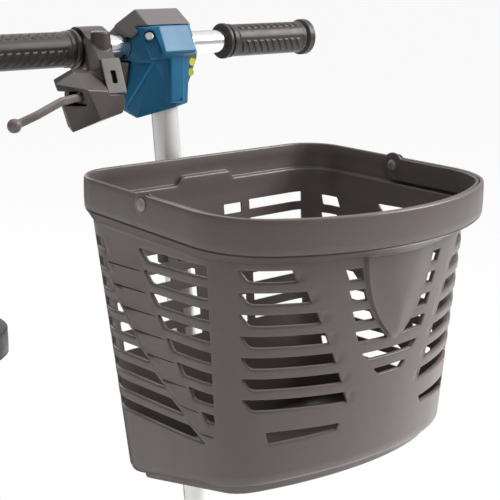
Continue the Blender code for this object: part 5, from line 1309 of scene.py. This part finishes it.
def grip_mesh(side):
    """moulded sleeve: two ribbed bands with a smooth strip between them, a thin
    inner flange, a wide outer flange and an end with a small hole"""
    angles = np.linspace(0, 2 * math.pi, GRIP_SIDES, endpoint=False)
    length, angle = np.meshgrid(np.linspace(0, GRIP_LEN, GRIP_STEPS), angles, indexing="ij")
    radius = grip_radii(length, angle)
    x = side * (BAR_LEN / 2 - GRIP_LEN + length)
    points = np.stack([x, BAR_Y - np.cos(angle) * radius, BAR_Z + np.sin(angle) * radius], -1)
    verts = points.reshape(-1, 3).tolist()
    for depth, end_r in GRIP_END:
        verts += [(side * (BAR_LEN / 2 - depth), BAR_Y - math.cos(a) * end_r,
                   BAR_Z + math.sin(a) * end_r) for a in angles]
    faces = []
    rows = GRIP_STEPS + len(GRIP_END)
    for i in range(rows):
        row, after = i * GRIP_SIDES, (i + 1) % rows * GRIP_SIDES
        for k in range(GRIP_SIDES):
            j = (k + 1) % GRIP_SIDES
            faces.append([row + k, row + j, after + j, after + k])
    return solid(verts, faces)


for side, name in ((1, "grip_left"), (-1, "grip_right")):
    place(name + "_sleeve", grip_mesh(side), grip_rubber, name, sharp=45)

# ============================================================ bright tubes
TILLER_SLOPE = 0.1365                    # y over z
TILLER_Y0 = -0.0135                      # tiller's axis at the bar's height
TILLER_R = 0.0127
TILLER_LOW_Z = 0.390                     # lower end above the floor
TILLER_AXIS = Vector((0.0, TILLER_SLOPE, 1.0)).normalized()

bar_half = BAR_LEN / 2 - 0.004
bar_tube = pipe(from_bar(-bar_half, 0, 0), from_bar(bar_half, 0, 0), BAR_R,
                wall=0.0018, chamfer=0.0003)
place("handlebar_tube_fine", bar_tube, bar_metal, "handlebar_tube", sharp=35)
tiller_len = (BAR_Z - TILLER_LOW_Z) / TILLER_AXIS.z
tiller_tube = pipe((0, 0, -tiller_len), (0, 0, -0.0124), TILLER_R, wall=0.0020, chamfer=0.0004)
tiller_tube.transform(frame_of(from_bar(0, TILLER_Y0, 0), TILLER_AXIS))
place("tiller_upper_tube_fine", tiller_tube, tiller_metal, "tiller_upper_tube", sharp=35)


# ============================================================ tiller head
def horn_mesh():
    """the button's foot tapers, so that it clears the rounded floor of its well"""
    mesh = cad_mesh("horn_button")
    points = np.array([tuple(vert.co) for vert in mesh.vertices])
    low = points.min(0)
    centre = (low + points.max(0)) / 2
    taper, lift = 0.62, 0.0012
    for vert in mesh.vertices:
        x, y, z = vert.co
        if y < low[1] + 0.0002:
            vert.co = (centre[0] + (x - centre[0]) * taper, y + lift,
                       centre[2] + (z - centre[2]) * taper)
    return softened(mesh, 0.0003, 3)


def add_head_details():
    """raised brace down the right flank, a small black disc on the front painted as the shade of a hole, and two
    blank marks on the left side"""
    path = [from_bar(-0.0215, -0.0362, -0.0105), from_bar(-0.0290, -0.0240, -0.0330),
            from_bar(-0.0370, -0.0112, -0.0560)]
    brace = sweep(path, chamfered_rect(0.0016, 0.0026, 0.0004))
    extra("head_brace", brace, head_blue, "handlebar")
    # painted shade: a thin black disc stands for the dark inside of a small hole in the rib
    disc = rod(from_bar(0.0042, -0.0428, -0.0470), from_bar(0.0042, -0.0433, -0.0470),
               0.0011, 24)
    extra("head_rib_hole_painted_shade", disc, black_plastic, "handlebar")
    marks = ((0.0337, -0.0160, yellow_mark), (0.0318, -0.0258, green_mark))
    for i, (x, z, material) in enumerate(marks):
        mark = rod(from_bar(x, -0.0200, z), from_bar(x, -0.0210, z), 0.0036, 40)
        extra("head_mark_%d" % i, mark, material, "handlebar")


soften_nodes((
    ("head_housing", head_blue, 0.0007, 3),
    ("head_cover", head_grey, 0.0009, 5),
    ("lever_housing", lever_plastic, 0.0006, 3),
    ("lever_cap", cap_plastic, 0.0005, 3),
    ("brake_lever", blade_lit_copy, 0.0006, 6),
    ("throttle_lever", blade_lit_copy, 0.0007, 5),
    ("speed_dial", black_plastic, 0.0004, 2),
    ("key", black_plastic, 0.0004, 3),
))
place("horn_button_fine", horn_mesh(), yellow_plastic, "horn_button", sharp=60)
keep_nodes((
    ("head_screw", screw_zinc, 0.0003),
    ("battery_gauge", gauge_lens, 0.0002),
    ("brake_lever_pin", steel, 0.0003),
))
soften_nodes((
    ("basket_bracket", bracket_plastic, 0.0012, 4),
    ("basket_latch", latch_plastic, 0.0004, 3),
))
add_head_details()

# ============================================================ lower tiller, fork, chassis
soften_nodes((
    ("tiller_lower_tube", frame_paint, 0.0011, 5),
    ("height_clamp", fork_paint, 0.0007, 3),
    ("height_clamp_lever", clamp_alloy, 0.0006, 4),
    ("front_fork", fork_paint, 0.0014, 5),
    ("steering_yoke", frame_paint, 0.0010, 4),
    ("front_mudguard", guard_plastic, 0.0011, 6),
    ("main_frame", frame_paint, 0.0022, 5),
    ("transaxle", case_alloy, 0.0018, 4),
    ("rear_cover", rear_plastic, 0.0017, 6),
    ("freewheel_lever", yellow_paint, 0.0007, 4),
    ("battery_box", battery_plastic, 0.0018, 4),
    ("battery_handle", black_plastic, 0.0008, 4),
    ("seat_frame", frame_paint, 0.0018, 4),
    ("seat_lock_lever", black_plastic, 0.0010, 4),
    ("backrest_frame", fork_paint, 0.0016, 4),
))
keep_nodes((
    ("fold_pin", steel, 0.0004),
    ("front_axle", steel, 0.0005),
    ("rear_axle", steel, 0.0005),
    ("seat_post", steel, 0.0006),
    ("rear_reflector", red_lens, 0.0005),
    ("floor_pan", pan_plastic, 0.0015),
    ("floor_mat", mat_rubber, 0.0),
))
for name in ("left", "right"):
    soften_nodes((
        ("armrest_arm_" + name, fork_paint, 0.0010, 4),
        ("armrest_pad_" + name, pad_rubber, 0.0016, 10),
        ("anti_tip_wheel_" + name, pad_rubber, 0.0008, 10),
    ))

# ============================================================ wheels
RIM_GAP = 0.0003                         # between rim and tyre
FLAT = math.cos(math.pi / 24)            # from corner to flat of a 24-sided wheel
TYRE_STEPS = 384
TYRE_SECTION = 132
FRONT_WHEEL = dict(radius=0.100, width=0.055, rim_r=0.062, lugs=34, rim_width=0.038,
                   bore=0.0063, hub_r=0.018, hub_half=0.0385)
REAR_WHEEL = dict(radius=0.115, width=0.060, rim_r=0.070, lugs=38, rim_width=0.040,
                  bore=0.0083, hub_r=0.020, hub_half=0.0220)


def chaikin(points, times):
    """closed line with its corners cut again and again"""
    points = np.array(points, float)
    for _ in range(times):
        after = np.roll(points, -1, 0)
        points = np.stack([points * 0.75 + after * 0.25, points * 0.25 + after * 0.75],
                          1).reshape(-1, 2)
    return points


def spaced(points, count):
    """points at equal steps round a closed line, in any number of dimensions"""
    loop = np.vstack([points, points[:1]])
    run = np.r_[0, np.cumsum(np.linalg.norm(np.diff(loop, axis=0), axis=1))]
    places = np.linspace(0, run[-1], count, endpoint=False)
    return np.stack([np.interp(places, run, column) for column in loop.T], -1)


def tyre_mesh(centre, radius, width, rim_r, lugs):
    """tubeless tyre: rounded section, a groove round the middle and slanted side grooves"""
    half = width / 2
    profile = [(-half * 0.66, rim_r), (-half, (radius + rim_r) / 2),
               (-half * 0.93, radius - 0.008), (-half * 0.45, radius)]
    profile += [(-x, height) for x, height in reversed(profile)]
    section = spaced(chaikin(profile, 4), TYRE_SECTION)
    angles = np.linspace(0, 2 * math.pi, TYRE_STEPS, endpoint=False)
    angle, x = np.meshgrid(angles, section[:, 0], indexing="ij")
    reach = np.meshgrid(angles, section[:, 1], indexing="ij")[1]
    tread = ease((reach - (radius - 0.0075)) / 0.0030)
    middle = ease((0.0019 - np.abs(x)) / 0.0007)
    phase = (angle * lugs / (2 * math.pi) + np.abs(x) / half * 1.3 + 0.5 * (x > 0)) % 1.0
    side = ease((0.085 - np.abs(phase - 0.5)) / 0.03) * ease((np.abs(x) - 0.0045) / 0.0012)
    reach = reach - 0.0019 * tread * np.maximum(middle, side)
    # a fine raised ring on each side wall
    ring = ease((0.0006 - np.abs(reach - (rim_r + (radius - rim_r) * 0.42))) / 0.0005)
    x = x + np.sign(x) * 0.0005 * ring
    points = np.stack([centre.x + x, centre.y + reach * np.cos(angle),
                       centre.z + reach * np.sin(angle)], -1)
    count = TYRE_SECTION
    i, k = np.meshgrid(np.arange(TYRE_STEPS), np.arange(count), indexing="ij")
    row, after = i * count, (i + 1) % TYRE_STEPS * count
    j = (k + 1) % count
    faces = np.stack([row + k, after + k, after + j, row + j], -1).reshape(-1, 4)
    return solid(points.reshape(-1, 3).tolist(), faces.tolist())


def rim_mesh(centre, rim_r, rim_width, bore, hub_r, hub_half, holes=4):
    """hub, web and rim in one turned piece, round holes through the web"""
    half, radius = rim_width / 2, rim_r - RIM_GAP
    profile = [(bore, -hub_half), (hub_r - 0.0012, -hub_half), (hub_r, -hub_half + 0.0012),
               (hub_r + 0.0030, -0.0075), (hub_r + 0.0050, -0.0060),
               (radius - 0.0135, -0.0060), (radius - 0.0110, -0.0070),
               (radius - 0.0016, -half), (radius, -half + 0.0010)]
    profile += [(reach, -height) for reach, height in reversed(profile)]
    disc = revolve(profile, 120, centre, (1, 0, 0), closed=True)
    web_in, web_out = hub_r + 0.002, radius - 0.012
    hole_at, hole_r = (web_in + web_out) / 2, (web_out - web_in) / 2 * 0.78
    through = Vector((0.03, 0, 0))
    cutters = []
    for k in range(holes):
        angle = 2 * math.pi * k / holes + 0.3
        middle = centre + Vector((0, hole_at * math.cos(angle), hole_at * math.sin(angle)))
        cutters.append(rod(middle - through, middle + through, hole_r, 40))
    return cut(disc, joined(cutters))


def add_wheel(tyre, rim, size):
    centre = box_centre(tyre)
    place(tyre + "_fine", tyre_mesh(centre, size["radius"] * FLAT, size["width"],
                                    size["rim_r"], size["lugs"]), tyre_rubber, tyre, sharp=50)
    keys = ("rim_r", "rim_width", "bore", "hub_r", "hub_half")
    place(rim + "_fine", rim_mesh(centre, *(size[key] for key in keys)), rim_alloy, rim,
          sharp=35)


add_wheel("front_tyre", "front_rim", FRONT_WHEEL)
add_wheel("rear_tyre_left", "rear_rim_left", REAR_WHEEL)
add_wheel("rear_tyre_right", "rear_rim_right", REAR_WHEEL)

# ============================================================ cushions
CUSHION_VOXEL = 0.005
CUSHION_INSET = 0.0028                   # how much smaller the shape is before it swells
SWELL_CAP = 0.0040
DRAW_CAP = 0.0006                        # most the cover may draw in
SLIDE_CAP = 0.002                        # most it may move along itself
CLOTH_FRAMES = 20


def blown_up(mesh):
    """the mesh as cloth under inner pressure, after the last frame"""
    ob = temp_object(mesh, "cushion_cloth")
    cloth = ob.modifiers.new("Cloth", 'CLOTH')
    settings = cloth.settings
    settings.quality = 5
    settings.mass = 0.3
    settings.tension_stiffness = 14
    settings.compression_stiffness = 14
    settings.bending_stiffness = 0.6
    settings.use_pressure = True
    settings.uniform_pressure_force = 4.0
    settings.effector_weights.gravity = 0.0
    cloth.point_cache.frame_start = 1
    cloth.point_cache.frame_end = CLOTH_FRAMES
    scene = bpy.context.scene
    for frame_number in range(1, CLOTH_FRAMES + 1):
        scene.frame_set(frame_number)
    result = bake(ob)
    scene.frame_set(1)
    return result


def puffed(node):
    """upholstered shape: the CAD solid a little smaller, blown up as cloth so
    that the cover bulges and creases"""
    mesh = cad_mesh(node)
    points = np.array([tuple(vert.co) for vert in mesh.vertices])
    low, high = points.min(0), points.max(0)
    centre = (low + high) / 2
    shrink = 1 - 2 * CUSHION_INSET / (high - low)
    for vert, point in zip(mesh.vertices, centre + (points - centre) * shrink):
        vert.co = point
    base = softened(mesh, CUSHION_VOXEL, 3)
    before = np.array([tuple(vert.co) for vert in base.vertices])
    result = blown_up(base)
    after = np.array([tuple(vert.co) for vert in result.vertices])
    normals = np.array([tuple(vert.normal) for vert in base.vertices])
    move = after - before
    move -= move.mean(0)
    # the cover swells freely and draws in only a little at its corners
    swell = (move * normals).sum(1)
    slide = move - swell[:, None] * normals
    length = np.maximum(np.linalg.norm(slide, axis=1), 1e-9)
    slide *= np.minimum(1.0, SLIDE_CAP / length)[:, None]
    move = slide + np.clip(swell, -DRAW_CAP, SWELL_CAP)[:, None] * normals
    for vert, point in zip(result.vertices, before + move):
        vert.co = point
    return result


def subdivided(mesh):
    ob = temp_object(mesh)
    modifier = ob.modifiers.new("sub", 'SUBSURF')
    modifier.levels = 1
    modifier.render_levels = 1
    return bake(ob)


def on_surface(mesh, points, offset):
    """a closed line laid on a cover, a set distance outside it"""
    tree = BVHTree.FromPolygons([vert.co.copy() for vert in mesh.vertices],
                                [tuple(face.vertices) for face in mesh.polygons])
    line = []
    for point in spaced(np.array([tuple(p) for p in points]), 240):
        nearest, normal, _, _ = tree.find_nearest(Vector(point))
        line.append(tuple(nearest + normal * offset))
    line = np.array(line)
    for _ in range(8):
        line = (np.roll(line, 1, 0) + 2 * line + np.roll(line, -1, 0)) / 4
    return line


def add_piping(name, cover, points, offset, radius, body):
    angles = [2 * math.pi * (k + 0.5) / 10 for k in range(10)]
    section = [(radius * math.cos(angle), radius * math.sin(angle)) for angle in angles]
    mesh = sweep(on_surface(cover, points, offset), section, closed=True)
    extra(name, mesh, pad_rubber, body, sharp=60)


def rounded_rect(x0, x1, y0, y1, low_r, high_r, inset=0.0030, steps=10):
    """rounded rectangle; low_r at the corners on y0, high_r at those on y1"""
    x0, x1, y0, y1 = x0 + inset, x1 - inset, y0 + inset, y1 - inset
    low_r, high_r = low_r - inset, high_r - inset
    points = []
    for x, y, radius, start in ((x0 + low_r, y0 + low_r, low_r, 180),
                                (x1 - low_r, y0 + low_r, low_r, 270),
                                (x1 - high_r, y1 - high_r, high_r, 0),
                                (x0 + high_r, y1 - high_r, high_r, 90)):
        for k in range(steps + 1):
            angle = math.radians(start + 90 * k / steps)
            points.append((x + radius * math.cos(angle), y + radius * math.sin(angle)))
    return points


# Plans of the cushions' seams: x range, y range (z range on the backrest), corner radii.
SEAT_PLAN = (-0.200, 0.200, 0.605, 1.000, 0.085, 0.045)
BACK_PLAN = (-0.185, 0.185, 0.0, 0.330, 0.040, 0.075)
BACK_PIVOT = Vector((0, 1.040 + BAR_Y, 0.541))
BACK_RAISE = 0.015
BACK_FRAME = Matrix.Translation(BACK_PIVOT) @ Matrix.Rotation(-math.radians(8), 4, 'X')

seat_cover = subdivided(puffed("seat_cushion"))
back_cover = subdivided(puffed("backrest_cushion"))
place("seat_cushion_cover", seat_cover, seat_vinyl, "seat_cushion", sharp=180)
place("backrest_cushion_cover", back_cover, back_vinyl, "backrest_cushion", sharp=180)
for name, z, offset, radius in (("seat_piping_top", 0.4660, 0.0002, 0.0024),
                                ("seat_piping_low", 0.4270, 0.0001, 0.0018)):
    seam = [(x, y + BAR_Y, z) for x, y in rounded_rect(*SEAT_PLAN)]
    add_piping(name, seat_cover, seam, offset, radius, "seat")
for name, y, offset, radius in (("back_piping_front", -0.0440, 0.0002, 0.0024),
                                ("back_piping_rear", -0.0195, 0.0001, 0.0018)):
    seam = [BACK_FRAME @ Vector((x, y, z + BACK_RAISE)) for x, z in rounded_rect(*BACK_PLAN)]
    add_piping(name, back_cover, seam, offset, radius, "backrest")

# ============================================================ stage
BACKDROP = 0.985                         # brightness of floor and room as the camera sees them


def floor_material():
    material, n, surface = new_material("studio_floor_paint")
    patches = n.ramp(n.noise(n.coords(), scale=3.0, detail=3.0))
    n.feed(surface, {"Base Color": n.mix(patches, (0.90, 0.90, 0.90), (0.93, 0.93, 0.93)),
                     "Roughness": 0.9, "Specular IOR Level": 0.0})
    # seen by the camera the floor is nearly even white, with a weak shadow
    glow = n.add("ShaderNodeEmission", {"Color": (BACKDROP, BACKDROP, BACKDROP, 1)})
    camera_ray = n.add("ShaderNodeLightPath").outputs["Is Camera Ray"]
    share = n.math("MULTIPLY", camera_ray, 0.92)
    mix = n.add("ShaderNodeMixShader", {0: share, 1: surface.outputs[0], 2: glow.outputs[0]})
    output = [node for node in n.tree.nodes if node.type == 'OUTPUT_MATERIAL'][0]
    n.feed(output, {0: mix.outputs[0]})
    return material


def add_floor(half=40.0, z=-0.0003):
    mesh = bpy.data.meshes.new("floor")
    corners = [(-half, -half, z), (half, -half, z), (half, half, z), (-half, half, z)]
    mesh.from_pydata(corners, [], [(0, 1, 2, 3)])
    ob = bpy.data.objects.new("studio_floor", mesh)
    COLLECTION.objects.link(ob)
    mesh.materials.append(floor_material())


def add_world():
    """soft grey room, brighter overhead and towards +X; even white to the camera"""
    world = bpy.data.worlds.new("studio")
    bpy.context.scene.world = world
    world.use_nodes = True
    world.node_tree.nodes.clear()
    n = Nodes(world.node_tree)
    output = n.add("ShaderNodeOutputWorld")
    camera_ray = n.add("ShaderNodeLightPath").outputs["Is Camera Ray"]
    direction = n.add("ShaderNodeTexCoord").outputs["Generated"]
    axes = n.add("ShaderNodeSeparateXYZ", {0: direction}).outputs
    overhead = n.ramp(axes["Z"], span=(-0.1, 0.9), to=(0.40, 1.05))
    sideways = n.ramp(axes["X"], span=(-0.9, 0.9), to=(0.30, 1.34))
    strength = n.math("MULTIPLY", overhead, sideways)
    room = n.add("ShaderNodeBackground", {"Strength": strength})
    white = n.add("ShaderNodeBackground", {"Color": (1, 1, 1, 1), "Strength": BACKDROP})
    mix = n.add("ShaderNodeMixShader", {0: camera_ray, 1: room.outputs[0], 2: white.outputs[0]})
    n.feed(output, {0: mix.outputs[0]})


def area_light(name, location, target, size, power):
    """square soft light turned towards a target"""
    light = bpy.data.lights.new(name, 'AREA')
    light.shape = 'RECTANGLE'
    light.size = size
    light.size_y = size
    light.energy = power
    ob = bpy.data.objects.new(name, light)
    ob.location = location
    ob.rotation_mode = 'QUATERNION'
    ob.rotation_quaternion = (Vector(target) - Vector(location)).to_track_quat('-Z', 'Y')
    COLLECTION.objects.link(ob)


def add_lights():
    area_light("key_soft", location=(2.2, -1.9, 2.6), target=(0, -0.4, 0.6), size=1.5, power=94.0)
    area_light("fill_soft", location=(-2.6, -1.4, 1.9), target=(0, -0.4, 0.7), size=2.2, power=4.0)
    area_light("back_soft", location=(0.6, 2.6, 2.6), target=(0, 0.0, 0.7), size=2.4, power=40.0)
    area_light("top_soft", location=(0.0, -0.2, 3.4), target=(0, -0.2, 0.5), size=2.6, power=26.0)


def set_view():
    view = bpy.context.scene.view_settings
    view.view_transform = 'Standard'
    view.look = 'None'
    view.exposure = 0.0
    view.gamma = 1.0


# Camera: in front of the scooter on its right, looking back and slightly down.
CAMERA_AZIMUTH, CAMERA_PITCH, CAMERA_ROLL = -40.3609, 14.897, 0.8809    # degrees
CAMERA_FROM_BAR = Vector((-0.6474, -0.9117, 0.0967))
SENSOR_MM, LENS_MM = 36.0, 83.6928


def add_camera():
    azimuth, pitch, roll = map(math.radians, (CAMERA_AZIMUTH, CAMERA_PITCH, CAMERA_ROLL))
    back = Vector((math.sin(azimuth) * math.cos(pitch), -math.cos(azimuth) * math.cos(pitch),
                   math.sin(pitch)))
    right = (-back).cross(Vector((0, 0, 1))).normalized()
    up = right.cross(-back)
    rolled_right = right * math.cos(roll) + up * math.sin(roll)
    rolled_up = -right * math.sin(roll) + up * math.cos(roll)
    matrix = Matrix((rolled_right, rolled_up, back)).transposed().to_4x4()
    matrix.translation = BAR + CAMERA_FROM_BAR
    camera = bpy.data.cameras.new("photo_angle")
    camera.sensor_width = SENSOR_MM
    camera.lens = LENS_MM
    camera.clip_start = 0.05
    camera.clip_end = 100
    ob = bpy.data.objects.new("photo_angle", camera)
    COLLECTION.objects.link(ob)
    ob.matrix_world = matrix
    bpy.context.scene.camera = ob


add_floor()
add_world()
add_lights()
set_view()
add_camera()
